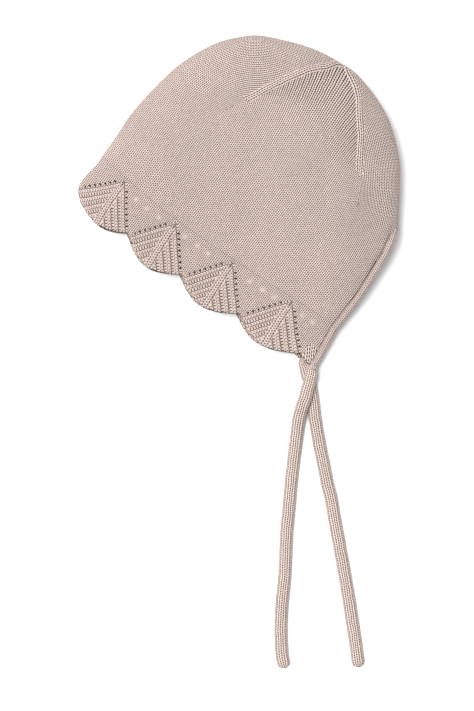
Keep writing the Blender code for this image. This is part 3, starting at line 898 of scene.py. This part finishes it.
def near_side(material):
    """The upper layer of the folded cap: the outer surface of the solid, raised in soft waves and
    along the two lines of decreases, with an inner face one wall deeper. Beside the neck band it
    ends at the band, and past the band's end it goes on round the nape fold."""
    row = cap_rows(*NEAR_ROWS)
    place, top, neck_column = near_columns(neck_place(row, True))
    row = np.broadcast_to(row, place.shape)
    points = outer_point(row, place, top)
    charts, lines, beside = stitch_charts(points, place, row, top)
    share = points[..., 1] / CAP_DEPTH
    started = smoothstep(share, *RIDGE_STARTS_SHARES) * (1 - smoothstep(share, RIDGE_ENDS_SHARE, 1.0))
    raised = sum(np.exp(-((side / RIDGE_HALF_WIDTH) ** 4)) for side in beside) * started * top
    inland = smoothstep(1 - np.abs(place), 0.0, WAVES_FADE) * top
    lift = gentle_waves(points[..., 0], points[..., 1]) * inland + RIDGE_HEIGHT * raised
    base = to_world(points)
    normals = outwards(grid_normals(base), top)
    outer = keep_above(base + normals * lift[..., None], OUTER_ABOVE_FLOOR)
    inner = keep_above(base - normals * WALL, INNER_ABOVE_FLOOR)

    column, drawn, below_end = columns_to_band(place, row, neck_column)
    outer, inner = between_columns(outer, column), between_columns(inner, column)
    charts = np.stack([between_columns(chart, column) for chart in charts])
    quads = grid_quads(*place.shape)
    corner_column = quads[:, 0] % place.shape[1]
    keep = (at_faces(row, quads) > NECK_EDGE - NECK_END_MARGIN) | (corner_column < neck_column)
    reached = at_faces(drawn, quads) > DRAWN_KEPT
    keep |= (corner_column < neck_column + FOLD_COLUMNS) & reached
    quads = quads[keep]
    section = near_section(place, share, lines, beside, top, quads)
    gap_shade = near_gap_shade(place, share, row, lines, beside, top, below_end)
    plain, line = work_of(PLAIN, gap_shade), work_of(LINE, np.full_like(gap_shade, LINE_OPEN))
    piece = sheet_piece(
        "cap_near_side", outer.reshape(-1, 3), inner.reshape(-1, 3), quads,
        charts.reshape(5, -1, 2), section, np.stack([plain, plain, plain, line, line]), material,
    )
    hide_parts("cap_body")
    return piece


def far_side(material):
    """The lower layer of the folded cap: the tray of the solid from strip to strip, flat on the
    floor, cut at its own neck edge, with an inner face one wall higher."""
    row = cap_rows(*FAR_ROWS)
    edge = neck_reach(row, False)
    t = np.linspace(0, 1, FAR_COLUMNS)[None, :]
    fold_end = np.where(row <= NECK_EDGE, edge, STRIP_PLACE)
    place = -STRIP_PLACE + (fold_end + STRIP_PLACE) * t
    row = np.broadcast_to(row, place.shape)
    points = outer_point(row, place, False)
    base = keep_above(to_world(points), OUTER_ABOVE_FLOOR)
    inner = base.copy()
    inner[..., 2] += WALL
    quads = grid_quads(*place.shape)
    chart = np.stack([points[..., 0] / WALE, row / COURSE], axis=-1).reshape(1, -1, 2)
    work = work_of(PLAIN, np.full(place.shape, FAR_OPEN))[None]
    piece = sheet_piece(
        "cap_far_side", base.reshape(-1, 3), inner.reshape(-1, 3), quads,
        chart, np.zeros(len(quads), int), work, material,
    )
    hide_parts("cap_body")
    return piece


# Lace edging


def face_half_length():
    """Length of the face edge on one side, from the forehead fold to the band."""
    return 2 * float(half_width_at(0.0)) - BAND_DIAMETER - CLEARANCE


def scallop_width():
    """Length of face edge that one scallop takes up, with the strip at the chin corner left out."""
    return (face_half_length() - END_STRIP) / SCALLOPS_PER_SIDE


def edging_point(row, distance, top):
    """Point of the edging at a distance from the forehead fold and a row; a distance under 0 is on
    the other layer."""
    on_top = np.where(distance < 0, ~np.asarray(top), top)
    distance = np.abs(distance)
    share = 1 - tucked_in(row, on_top) / face_half_length()
    along = distance * share
    shortened = FOLD_SHORTENING * np.sin(math.pi * along / face_half_length())
    place = (along - shortened) / float(half_width_at(0.0)) - 1
    return outer_point(row, place, on_top)


def scallop_edge(distance):
    """Row of the scalloped edge: each scallop drops below the line between its two notches."""
    turns = np.abs(distance) / scallop_width()
    phase = turns - np.floor(turns)
    steepness = np.where(turns < 0.5, FOLD_SCALLOP_STEEPNESS, 1.0)
    drop = SCALLOP_DROP * np.sin(math.pi * phase) ** steepness
    past = (np.abs(distance) - SCALLOPS_PER_SIDE * scallop_width()) / END_STRIP
    bulge = CORNER_BULGE * np.sqrt(np.clip(1 - (1 - np.clip(past, 0, 1)) ** 2, 0, 1))
    return np.where(turns < SCALLOPS_PER_SIDE, -drop, -bulge)


def eyelet_places():
    """(distance, row) of each eyelet: two lines that rise to a peak in the middle of each scallop."""
    found = []
    width = scallop_width()
    for scallop in range(SCALLOPS_PER_SIDE):
        middle = (scallop + SCALLOP_MIDDLE) * width
        for k in range(EYELETS_PER_LINE):
            t = k / (EYELETS_PER_LINE - 1)
            reach = width * (LINE_REACH_FOOT + (LINE_REACH_TOP - LINE_REACH_FOOT) * t)
            row = EYELET_FOOT + EYELET_RISE * t
            found += [(middle - reach, row), (middle + reach, row)]
        found.append((middle, EYELET_FOOT + EYELET_RISE + PEAK_ABOVE_LINES))
    return np.array(found)


def ribs_below_lines(distance, row):
    """Number of ribs below the eyelet lines, which is under 0 above them, the run along a rib, the
    distance from the scallop's spine, and which points lie in the strip at the chin corner. Each
    line slopes up from its foot to the rounded peak, and the ribs lie parallel to it, one rib and
    one gutter to every two wales."""
    width = scallop_width()
    scallop = np.clip(np.floor(np.abs(distance) / width), 0, SCALLOPS_PER_SIDE - 1)
    beside = np.abs(distance) - (scallop + SCALLOP_MIDDLE) * width
    fall = EYELET_RISE / ((LINE_REACH_FOOT - LINE_REACH_TOP) * width)
    slope = math.atan(fall)
    reach = np.sqrt(beside**2 + PEAK_ROUNDED**2)
    line = EYELET_FOOT + fall * (LINE_REACH_FOOT * width - reach)
    below = (line - row) * math.cos(slope)
    along = reach * math.cos(slope) - row * math.sin(slope)
    in_strip = np.abs(distance) > SCALLOPS_PER_SIDE * width
    return np.where(in_strip, -1.0, below / (2 * WALE)), along, beside, in_strip


def gaps_to(eyelets, distance, row):
    """Distance of each spot from each eyelet."""
    return np.hypot(distance[:, None] - eyelets[None, :, 0], row[:, None] - eyelets[None, :, 1])


def cut_eyelets(distance, row, radius):
    """The grid with its eyelets cut out. Faces whose middle lies inside an eyelet are left out, and
    the points round the hole are drawn onto its circle. Also gives the faces that are left, and how
    far each point lay from the nearest eyelet."""
    shape = row.shape
    eyelets = eyelet_places()
    flat_d, flat_r = distance.reshape(-1).copy(), row.reshape(-1).copy()
    gap = gaps_to(eyelets, flat_d, flat_r)
    quads = grid_quads(*shape)
    in_hole = gaps_to(eyelets, flat_d[quads].mean(1), flat_r[quads].mean(1)).min(1) < radius
    on_hole, on_cloth = np.zeros(len(flat_d), bool), np.zeros(len(flat_d), bool)
    on_hole[quads[in_hole].reshape(-1)] = True
    on_cloth[quads[~in_hole].reshape(-1)] = True
    round_hole = on_hole & on_cloth
    nearest = eyelets[gap.argmin(1)]
    away = np.stack([flat_d - nearest[:, 0], flat_r - nearest[:, 1]], axis=1)
    size = np.maximum(np.linalg.norm(away, axis=1, keepdims=True), 1e-6)
    onto = nearest + away / size * radius
    flat_d[round_hole], flat_r[round_hole] = onto[round_hole, 0], onto[round_hole, 1]
    return flat_d.reshape(shape), flat_r.reshape(shape), quads[~in_hole], gap.min(1).reshape(shape)


def lace_relief(ribs, beside_spine, rim, row, gap, nubs):
    """Height of the lace's stitches: one wave of the cosine to a rib, the raised spine of a scallop,
    a half round along the rim in place of both, a dip round each eyelet, and the nubs."""
    ribbed = smoothstep(ribs, *RIBS_START)
    relief = -np.cos(2 * math.pi * ribs) * ribbed * RIB_HEIGHT
    on_spine = np.exp(-((beside_spine / SPINE_HALF_WIDTH) ** 4)) * smoothstep(ribs, *SPINE_STARTS)
    relief = relief + (SPINE_HEIGHT - relief) * on_spine
    relief = relief * (1 - rim) + RIM_HEIGHT * np.sin(math.pi * rim) * ribbed
    ring = np.exp(-((gap / RING_HALF_WIDTH) ** 4))
    relief = relief - RING_DEPTH * ring * (row < EDGING_DEPTH - RINGS_TO_SEAM)
    return relief + NUB_HEIGHT * nubs


def lace_charts(points, distance, row, ribs, along, beside_spine):
    """Four charts of (wale, course): stocking stitch that carries on from the cap between the
    scallops, with the same lean; ribs along the eyelet lines, numbered apart on the two sides of a
    spine; the slanted welt at the chin corner; and the spine's own wale."""
    u = points[..., 0] - LEAN * points[..., 1] - MIDDLE_WALE
    apart = WALES_APART * np.sign(beside_spine)
    return np.stack([
        np.stack([u / WALE, row / COURSE], axis=-1),
        np.stack([(2 * ribs - 0.5) + apart, along / RIB_COURSE], axis=-1),
        np.stack([distance / WELT_WALE + row / WELT_SLANT, row / WELT_COURSE], axis=-1),
        np.stack([beside_spine / SPINE_WALE + 0.5, row / RIB_COURSE], axis=-1),
    ]).reshape(4, -1, 2)


def lace_section(row, ribs, beside_spine, in_strip, quads):
    """Number of each face's chart: 0 stocking stitch, 1 ribs, 2 the welt, 3 a spine."""
    section = np.where(at_faces(ribs, quads) > 0, 1, 0)
    section = np.where(at_faces(in_strip, quads) > 0.5, 2, section)
    section = np.where((section == 2) & (at_faces(row, quads) > WELT_TOP_ROW), 0, section)
    on_line = np.abs(at_faces(beside_spine, quads)) < LINE_SHOWS * SPINE_WALE
    on_line &= at_faces(ribs, quads) > SPINE_SHOWS_FROM
    return np.where(on_line & (section == 1), 3, section)


def lace_work(distance, level, ribs, gap, nubs):
    """Kind of the stitches for the four charts, and how open they are drawn, which sets their painted gap
    shade. The cloth round an eyelet gets painted shade by a bell curve, the first rib under a line and
    the nubs are shut and carry less of it, and the rim lies in painted shade on one half of each scallop."""
    # Painted shade round each eyelet
    dark = EYELET_SHADE * np.exp(-((gap / EYELET_SHADE_WIDTH) ** 2))
    turns = np.abs(distance) / scallop_width()
    shaded = RIM_SHADE * smoothstep(level, *RIM_SHADE_LEVELS)
    shaded = shaded * smoothstep(turns - np.floor(turns), *RIM_SHADE_SIDE)
    first_rib = FIRST_RIB_SHUT * (1 - smoothstep(ribs, *FIRST_RIB_ENDS))
    smooth = np.full_like(gap, LINE_OPEN)
    return np.stack([
        work_of(PLAIN, LACE_OPEN + dark - NUB_SHUT * nubs),
        work_of(RIBS, RIBS_OPEN + dark - first_rib + shaded),
        work_of(PLAIN, smooth),
        work_of(SPINE, smooth),
    ])


def lace_side(name, top, grid, material):
    """One side of the edging: a grid from just past the seam with the cap down to the scalloped edge,
    raised in ribs, with round eyelets. At the forehead fold its corner is drawn out, at the chin
    corner it is drawn to the band, and at the seam it first stands proud and then dips under the
    cap's edge. Its inner face lies one wall deeper, and at the rim the two draw together."""
    columns, levels = grid
    start = -LACE_ROUND_FOLD if top else LACE_ROUND_FOLD
    even = np.linspace(start, face_half_length(), columns)[None, :]
    edge = scallop_edge(even) - (0.0 if top else FAR_EDGE_SHOWS)
    upper = EDGING_DEPTH + LACE_PAST_SEAM
    level = np.broadcast_to(np.linspace(0, 1, levels)[:, None], (levels, columns))
    even_row = upper + (edge - upper) * level
    even = np.broadcast_to(even, even_row.shape)
    radius = 0.5 * EYELET * (EYELET_SHOWS_NEAR if top else EYELET_SHOWS_FAR)
    distance, row, quads, gap = cut_eyelets(even, even_row, radius)

    points = edging_point(row, distance, top)
    on_top = np.where(distance < 0, not top, top)
    at_fold = 1 - smoothstep(np.abs(distance), 0.0, FOLD_CORNER_RUN)
    points[..., 0] -= FOLD_CORNER_OUT * (at_fold * (1 - smoothstep(row, *FOLD_CORNER_ROWS)))
    if top:
        to_band = np.interp(row, *np.array(CORNER_TO_BAND).T)
        corner = smoothstep(distance, face_half_length() - CORNER_RUN, face_half_length())
        points[..., 0] += to_band * corner
    base = keep_above(to_world(points), OUTER_ABOVE_FLOOR)
    normals = outwards(grid_normals(to_world(edging_point(even_row, even, top))), on_top)

    ribs, along, beside_spine, in_strip = ribs_below_lines(distance, row)
    rim = smoothstep(level, RIM_LEVEL, 1.0)
    nubs = nub_mask(distance, row) * on_top
    relief = lace_relief(ribs, beside_spine, rim, row, gap, nubs) * (1.0 if top else FAR_RELIEF_SHARE)
    from_fold = 1 - np.abs(np.abs(distance) / float(half_width_at(0.0)) - 1)
    inland = smoothstep(from_fold, 0.0, WAVES_FADE)
    waves = gentle_waves(points[..., 0], points[..., 1]) * inland * on_top
    tucked = TUCKED_UNDER * smoothstep(row - EDGING_DEPTH, *TUCK_ROWS)
    tucked = tucked - PROUD_AT_SEAM * smoothstep(row, EDGING_DEPTH - PROUD_RUN, EDGING_DEPTH)
    drawn_in = RIM_DRAWN_IN * rim**3
    outer = base + normals * (relief + waves - drawn_in - tucked)[..., None]
    outer = keep_above(outer, OUTER_ABOVE_FLOOR)
    inner = keep_above(base - normals * (LACE_WALL - drawn_in)[..., None], INNER_ABOVE_FLOOR)
    piece = sheet_piece(
        name, outer.reshape(-1, 3), inner.reshape(-1, 3), quads,
        lace_charts(points, distance, row, ribs, along, beside_spine),
        lace_section(row, ribs, beside_spine, in_strip, quads),
        lace_work(distance, level, ribs, gap, nubs), material,
    )
    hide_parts("scallop_edging")
    return piece


# Neck binding and ties


def evenly(points, step):
    """The same curve with its points about one step apart."""
    run = run_along(points)
    marks = np.linspace(0, run[-1], max(2, round(run[-1] / step) + 1))
    return np.stack([np.interp(marks, run, points[:, i]) for i in range(3)], axis=-1)


def band_route(step):
    """Middle line of the neck band: up the near neck edge, round the nape fold, down the far edge."""
    top_of_loop = NECK_EDGE - BAND_DIAMETER / 2 - CLEARANCE
    turn = np.linspace(-math.pi / 2, math.pi / 2, 1601)
    row = (top_of_loop + BAND_PAST_EDGE) * np.cos(turn) ** BAND_LOOP_SHARPNESS - BAND_PAST_EDGE
    middle, half, _ = section_at(row)
    near = outer_point(row, neck_place(row, True), True)[:, 2] - WALL / 2
    far = outer_point(row, neck_place(row, False), False)[:, 2] + WALL / 2
    far = np.maximum(far, BAND_DIAMETER / 2)
    height = (near + far) / 2 - (near - far) / 2 * np.sin(turn)
    near_share = (1 - np.sin(turn)) / 2
    tuck = tucked_in(row, False) * (1 - near_share)
    near_end = np.clip(1 - (row + BAND_PAST_EDGE) / BAND_END_RUN, 0.0, 1.0)
    turned_out = BAND_END_TURNED_OUT * near_end**2
    across = middle + half - BAND_DIAMETER / 2 - tuck + turned_out * near_share
    return to_world(evenly(np.stack([across, row, height], axis=-1), step))


def tie_route(route, end, before, step):
    """Middle line of a tie: straight out of the band's end, then the route on a smooth curve."""
    onward = (end - before) / np.linalg.norm(end - before)
    start = end + onward * CLEARANCE - np.array([0.0, 0.0, TIE_THICKNESS / 2])
    points = np.concatenate([[start, start + onward * TIE_STRAIGHT], np.array(route, float) + SHIFT])
    run = run_along(points)
    smooth = smooth_through(np.column_stack([run, points]), np.linspace(0, run[-1], 1200))
    smooth[:, 2] = np.maximum(smooth[:, 2], 0) + TIE_THICKNESS / 2
    return evenly(smooth, step)


def tube(name, path, half_width, half_height, around, rounded, wale_count, material, gap_shade):
    """A knitted tube along a path. Each ring is an oval, wide level with the floor, of the half width
    and half height given for its point. Within a rounded length, one for the first end and one for
    the last, it falls off as a quarter circle. Wales run along the tube as soft rounds, one wave of
    the cosine each, and each end is closed by a cap of plain faces."""
    run = run_along(path)
    tangent = np.gradient(path, axis=0)
    tangent /= np.linalg.norm(tangent, axis=1, keepdims=True)
    side = np.cross(tangent, np.array([0.0, 0.0, 1.0]))
    side /= np.maximum(np.linalg.norm(side, axis=1, keepdims=True), 1e-9)
    up = np.cross(side, tangent)
    swell = np.ones(len(run))
    for length, away in zip(rounded, (run, run[-1] - run)):
        if length:
            swell *= np.sqrt(1 - (1 - np.clip(away / length, 0, 1)) ** 2)
    swell = np.maximum(swell, LEAST_SWELL)
    turn = np.arange(around) / around * 2 * math.pi
    wales = 1 + WALE_RELIEF * np.cos(turn * wale_count)
    wide = np.cos(turn) * wales
    high = np.sin(turn) * wales
    rings = (
        path[:, None, :]
        + side[:, None, :] * wide[None, :, None] * (half_width * swell)[:, None, None]
        + up[:, None, :] * high[None, :, None] * (half_height * swell)[:, None, None]
    )
    rings = keep_above(rings, OUTER_ABOVE_FLOOR)
    count = len(path)
    i = np.repeat(np.arange(count - 1), around)
    j = np.tile(np.arange(around), count - 1)
    k = (j + 1) % around
    quads = np.stack([i * around + j, i * around + k, (i + 1) * around + k, (i + 1) * around + j], axis=1)
    u = np.stack([j, j + 1, j + 1, j], axis=1) / around * wale_count + 0.5
    v = run[np.stack([i, i, i + 1, i + 1], axis=1)] / COURSE
    uv = np.stack([u, v], axis=-1)
    points = rings.reshape(-1, 3)
    for ring, flipped in ((0, False), (count - 1, True)):
        base = ring * around
        half = around // 2
        a = np.arange(half - 1)
        cap = np.stack([base + a, base + a + 1, base + around - 2 - a, base + around - 1 - a], axis=1)
        cap = cap if flipped else cap[:, ::-1]
        quads = np.concatenate([quads, cap])
        uv = np.concatenate([uv, np.full((len(cap), 4, 2), PLAIN_SPOT)])
    p, q, r, s = (points[quads[:, n]] for n in range(4))
    if (p * np.cross(q, r)).sum() + (p * np.cross(r, s)).sum() < 0:
        quads, uv = quads[:, ::-1], uv[:, ::-1]
    work = np.broadcast_to(np.array([PLAIN, gap_shade]), uv.shape)
    return make_mesh(name, points, quads, uv, work, np.zeros(len(quads), bool), material)


def neck_binding(material):
    """The rolled edge that binds the neck: a tube, a little wider than high, with six wales."""
    route = band_route(BAND_STEP)
    size = np.full(len(route), BAND_DIAMETER / 2)
    piece = tube(
        "neck_binding", route, size * BAND_WIDENED, size, BAND_SIDES, (0, 0), BAND_WALES,
        material, BAND_OPEN,
    )
    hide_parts("neck_band")
    return piece


def tie(name, node, route, end, before, material):
    """A flat knitted tie, wider than high, with round ends."""
    path = tie_route(route, end, before, TIE_STEP)
    path = np.concatenate([[path[0] - (path[1] - path[0])], path])
    run = np.arange(len(path)) * TIE_STEP
    grown = smoothstep(run, 0.0, TIE_TAPER)
    half_width = BAND_DIAMETER / 2 + (TIE_WIDTH - BAND_DIAMETER) / 2 * grown
    half_height = np.full(len(path), TIE_THICKNESS / 2)
    piece = tube(
        name, path, half_width, half_height, TIE_SIDES, (0, TIE_ROUND_END), TIE_WALES,
        material, TIE_OPEN,
    )
    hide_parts(node)
    return piece


# Materials


def put(tree, socket, value):
    """Links another socket to this one, or writes a plain value onto it."""
    if isinstance(value, bpy.types.NodeSocket):
        tree.links.new(value, socket)
    else:
        socket.default_value = value


def add_node(tree, kind, inputs, **settings):
    """A shader node with its settings, and what goes into its inputs."""
    node = tree.nodes.new(kind)
    for setting, value in settings.items():
        setattr(node, setting, value)
    for socket, value in inputs.items():
        put(tree, node.inputs[socket], value)
    return node


def add_group(name, inputs, outputs):
    """A node group with named inputs and outputs, and the sockets inside it that they lead to."""
    group = bpy.data.node_groups.new(name, "ShaderNodeTree")
    for in_out, sockets in (("INPUT", inputs), ("OUTPUT", outputs)):
        for socket, kind in sockets.items():
            group.interface.new_socket(socket, in_out=in_out, socket_type="NodeSocket" + kind)
    source, result = group.nodes.new("NodeGroupInput"), group.nodes.new("NodeGroupOutput")
    return group, source.outputs, result.inputs


def calculator(tree):
    """A function that adds a Math node to the tree and gives its value."""
    def calculate(operation, *values, clamp=False):
        node = add_node(
            tree, "ShaderNodeMath", dict(enumerate(values)), operation=operation, use_clamp=clamp
        )
        return node.outputs[0]
    return calculate


def wandering_stitch(group, stitch):
    """Wale and course of a spot, moved a little by a noise so that no two stitches are alike."""
    place = group.nodes.new("ShaderNodeTexCoord").outputs["Object"]
    noise = {"Vector": place, "Scale": WANDER_SCALE, "Detail": 2}
    wander = add_node(group, "ShaderNodeTexNoise", noise).outputs["Color"]
    about_zero = add_node(
        group, "ShaderNodeVectorMath", {0: wander, 1: (0.5, 0.5, 0.5)}, operation="SUBTRACT"
    ).outputs[0]
    moved = add_node(
        group, "ShaderNodeVectorMath", {0: about_zero, 1: WANDER, 2: stitch}, operation="MULTIPLY_ADD"
    ).outputs[0]
    split = add_node(group, "ShaderNodeSeparateXYZ", {0: moved})
    return split.outputs[0], split.outputs[1]


def stitch_group():
    """Heights of knitted stitches, and the painted shade in their gaps. In a wale the two legs of each
    stitch rise from its middle to its sides; the yarn is low between legs that follow each other, as one
    less the size of a sine along the wale, and at the middle and the sides of the wale, as one less a
    sine across it. Of ribs, every other wale is purled and shows one crosswise bump to a course. A line
    of decreases has an edge of painted shade on either side, and a scallop's spine is softer still. Where
    the yarn is low it gets painted shade as a gap, the more so the more open the work is drawn. Past
    GROOVE_FROM grooves of painted shade part the wales, and past HOLE_FROM all of it is painted dark as a
    hole. Ribs, purled wales and spines get a little painted shade all over."""
    group, source, result = add_group(
        "knit_stitches", {"Stitch": "Vector", "Kind": "Float", "GapShade": "Float"},
        {"Height": "Float", "Gap": "Float"},
    )
    m = calculator(group)
    kind, gap_shade = source["Kind"], source["GapShade"]
    wale, course = wandering_stitch(group, source["Stitch"])
    within = m("FRACT", wale)
    from_middle = m("ABSOLUTE", m("MULTIPLY_ADD", within, 2.0, -1.0))
    leg = m("MULTIPLY_ADD", from_middle, -LEG_RISE, course)
    between = m("SUBTRACT", 1.0, m("ABSOLUTE", m("SINE", m("MULTIPLY", leg, math.pi))))
    beside = m("SUBTRACT", 1.0, m("SINE", m("MULTIPLY", from_middle, math.pi)))
    across = m("SUBTRACT", 1.0, m("ABSOLUTE", m("SINE", m("MULTIPLY", course, math.pi))))

    in_line = m("GREATER_THAN", kind, (RIBS + LINE) / 2)
    in_spine = m("GREATER_THAN", kind, (LINE + SPINE) / 2)
    in_ribs = m("SUBTRACT", m("MINIMUM", kind, 1.0), in_line)
    every_other = m("FRACT", m("MULTIPLY", m("FLOOR", wale), 0.5))
    purl = m("GREATER_THAN", m("MULTIPLY", every_other, in_ribs), 0.25)
    deep_beside = m("MULTIPLY_ADD", in_spine, -SPINE_SHALLOWER, DEEP_BESIDE)
    deep_beside = m("MULTIPLY_ADD", in_line, -LINE_SHALLOWER, deep_beside)
    knitted = m("MULTIPLY_ADD", between, DEEP_BETWEEN, m("MULTIPLY", beside, deep_beside))
    over_middle = m("SUBTRACT", 1.0, m("MULTIPLY", from_middle, from_middle))
    purled = m("MULTIPLY", m("MULTIPLY", across, over_middle), PURL_DEEP)
    purled = m("ADD", purled, m("MULTIPLY", m("POWER", within, PURL_EDGE_SHARPNESS), PURL_EDGE_DEEP))
    at_side = m("MULTIPLY", m("POWER", from_middle, RIB_SIDE_SHARPNESS), RIB_DEEP_SIDE)
    ribbed = m("ADD", m("MULTIPLY", between, RIB_DEEP_BETWEEN), at_side)
    ribbed = m("MULTIPLY_ADD", beside, RIB_DEEP_BESIDE, ribbed)
    hollow = m("MULTIPLY", knitted, m("SUBTRACT", 1.0, in_ribs))
    hollow = m("ADD", hollow, m("MULTIPLY", ribbed, m("SUBTRACT", in_ribs, purl)))
    hollow = m("ADD", hollow, m("MULTIPLY", purled, purl))
    lowered = m("MULTIPLY", purl, PURL_LOWER)
    put(group, result["Height"], m("SUBTRACT", m("SUBTRACT", 1.0, hollow), lowered))

    # Painted shade in the low yarn between the stitches
    dots = add_node(group, "ShaderNodeMapRange", {
        "Value": hollow, "From Min": GAP_DEPTHS[0], "From Max": GAP_DEPTHS[1],
    }, interpolation_type="SMOOTHSTEP").outputs["Result"]
    gap = m("MULTIPLY", dots, m("MINIMUM", m("MULTIPLY", gap_shade, GAP_BY_OPENNESS), GAP_MOST))
    # Painted shade: dark grooves between the wales, and whole stitches painted dark as holes
    groove = m("MULTIPLY", m("MAXIMUM", m("SUBTRACT", gap_shade, GROOVE_FROM), 0.0), GROOVE_RATE)
    groove = m("MULTIPLY", groove, m("POWER", from_middle, GROOVE_SHARPNESS))
    hole = m("MULTIPLY", m("MAXIMUM", m("SUBTRACT", gap_shade, HOLE_FROM), 0.0), HOLE_RATE)
    # Painted shade along both edges of a raised line of decreases
    from_edge = m("ABSOLUTE", m("SUBTRACT", m("ABSOLUTE", m("SUBTRACT", wale, 0.5)), 0.5))
    edge = m("SUBTRACT", 1.0, m("MULTIPLY", from_edge, LINE_EDGE_SHARPNESS), clamp=True)
    edge = m("MULTIPLY", edge, m("MULTIPLY_ADD", across, LINE_EDGE_DARK, LINE_EDGE_LEAST))
    gap = m("ADD", gap, m("MULTIPLY", edge, in_line))
    # A little painted shade all over the ribs, the purled wales and the spines
    dimmed = m("MULTIPLY_ADD", in_ribs, RIBS_DIMMED, m("MULTIPLY", in_spine, SPINE_DIMMED))
    dimmed = m("MULTIPLY_ADD", purl, PURL_DIMMED, dimmed)
    gap = m("ADD", m("ADD", gap, groove), m("ADD", dimmed, hole), clamp=True)
    put(group, result["Gap"], gap)
    return group


def yarn_group():
    """Colour of the heathered yarn: the light colour made lighter and darker by three noises, about one
    stitch wide, as fine as the fibres, and broad; and down to a brown painted shadow where the stitch
    group paints shade."""
    group, source, result = add_group(
        "heathered_yarn", {"Gap": "Float", "Light": "Color", "Shadow": "Color"},
        {"Color": "Color", "Fibre": "Float"},
    )
    m = calculator(group)
    place = group.nodes.new("ShaderNodeTexCoord").outputs["Object"]
    tone, noises = 1.0, []
    for scale, detail, strength in YARN_TONES:
        noise = add_node(group, "ShaderNodeTexNoise", {"Vector": place, "Scale": scale, "Detail": detail})
        noises.append(noise.outputs["Fac"])
        tone = m("MULTIPLY_ADD", m("SUBTRACT", noises[-1], 0.5), strength, tone)
    lit = add_node(
        group, "ShaderNodeVectorMath", {0: source["Light"], "Scale": tone}, operation="SCALE"
    ).outputs[0]
    # Painted shade: the lit yarn colour mixed towards the shadow colour
    mix = add_node(group, "ShaderNodeMix", {"Factor": source["Gap"]}, data_type="RGBA")
    put(group, mix.inputs[6], lit)
    put(group, mix.inputs[7], source["Shadow"])
    put(group, result["Color"], mix.outputs[2])
    put(group, result["Fibre"], noises[1])
    return group


def knit_material(name, stitches, yarn, light, relief):
    """Matt knitted yarn: stitch heights and fibres as a bump, the yarn's colour with its painted gap
    shade as the base.
    """
    material = bpy.data.materials.new(name)
    material.use_nodes = True
    tree = material.node_tree
    uv = add_node(tree, "ShaderNodeUVMap", {}, uv_map="Stitches").outputs[0]
    work = add_node(tree, "ShaderNodeUVMap", {}, uv_map="Work").outputs[0]
    kind, gap_shade, _ = add_node(tree, "ShaderNodeSeparateXYZ", {0: work}).outputs
    knit = add_node(tree, "ShaderNodeGroup", {}, node_tree=stitches)
    put(tree, knit.inputs["Stitch"], uv)
    put(tree, knit.inputs["Kind"], kind)
    put(tree, knit.inputs["GapShade"], gap_shade)
    spun = add_node(tree, "ShaderNodeGroup", {}, node_tree=yarn)
    put(tree, spun.inputs["Gap"], knit.outputs["Gap"])
    put(tree, spun.inputs["Light"], (*light, 1))
    put(tree, spun.inputs["Shadow"], (*YARN_SHADOW, 1))
    height = calculator(tree)("MULTIPLY_ADD", spun.outputs["Fibre"], FIBRE_SHARE, knit.outputs["Height"])
    bump = add_node(tree, "ShaderNodeBump", {"Strength": 1.0, "Distance": relief, "Height": height})
    shader = tree.nodes["Principled BSDF"]
    put(tree, shader.inputs["Base Color"], spun.outputs["Color"])
    put(tree, shader.inputs["Normal"], bump.outputs[0])
    put(tree, shader.inputs["Roughness"], YARN_ROUGHNESS)
    put(tree, shader.inputs["Specular IOR Level"], YARN_SHINE)
    return material


# The bonnet


make_camera()

stitches, yarn = stitch_group(), yarn_group()
cap_knit = knit_material("cap_knit", stitches, yarn, YARN_LIGHT, CLOTH_RELIEF)
lace_knit = knit_material("lace_knit", stitches, yarn, LACE_LIGHT, CLOTH_RELIEF)
band_knit = knit_material("band_knit", stitches, yarn, YARN_LIGHT, CORD_RELIEF)
tie_knit = knit_material("tie_knit", stitches, yarn, YARN_LIGHT, CORD_RELIEF)

band = band_route(BAND_SOLID_STEP)
near_tie = tie("near_tie", "tie_near", NEAR_TIE_ROUTE, band[0], band[1], tie_knit)
far_tie = tie("far_tie", "tie_far", FAR_TIE_ROUTE, band[-1], band[-2], tie_knit)

pieces = (
    (near_side(cap_knit), "cap_knit"),
    (far_side(cap_knit), "cap_knit"),
    (lace_side("lace_near_side", True, NEAR_LACE_GRID, lace_knit), "lace_knit"),
    (lace_side("lace_far_side", False, FAR_LACE_GRID, lace_knit), "lace_knit"),
    (neck_binding(band_knit), "band_knit"),
    (near_tie, "tie_knit"),
    (far_tie, "tie_knit"),
)
for piece, slot in pieces:
    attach(piece, "root")

make_stage()
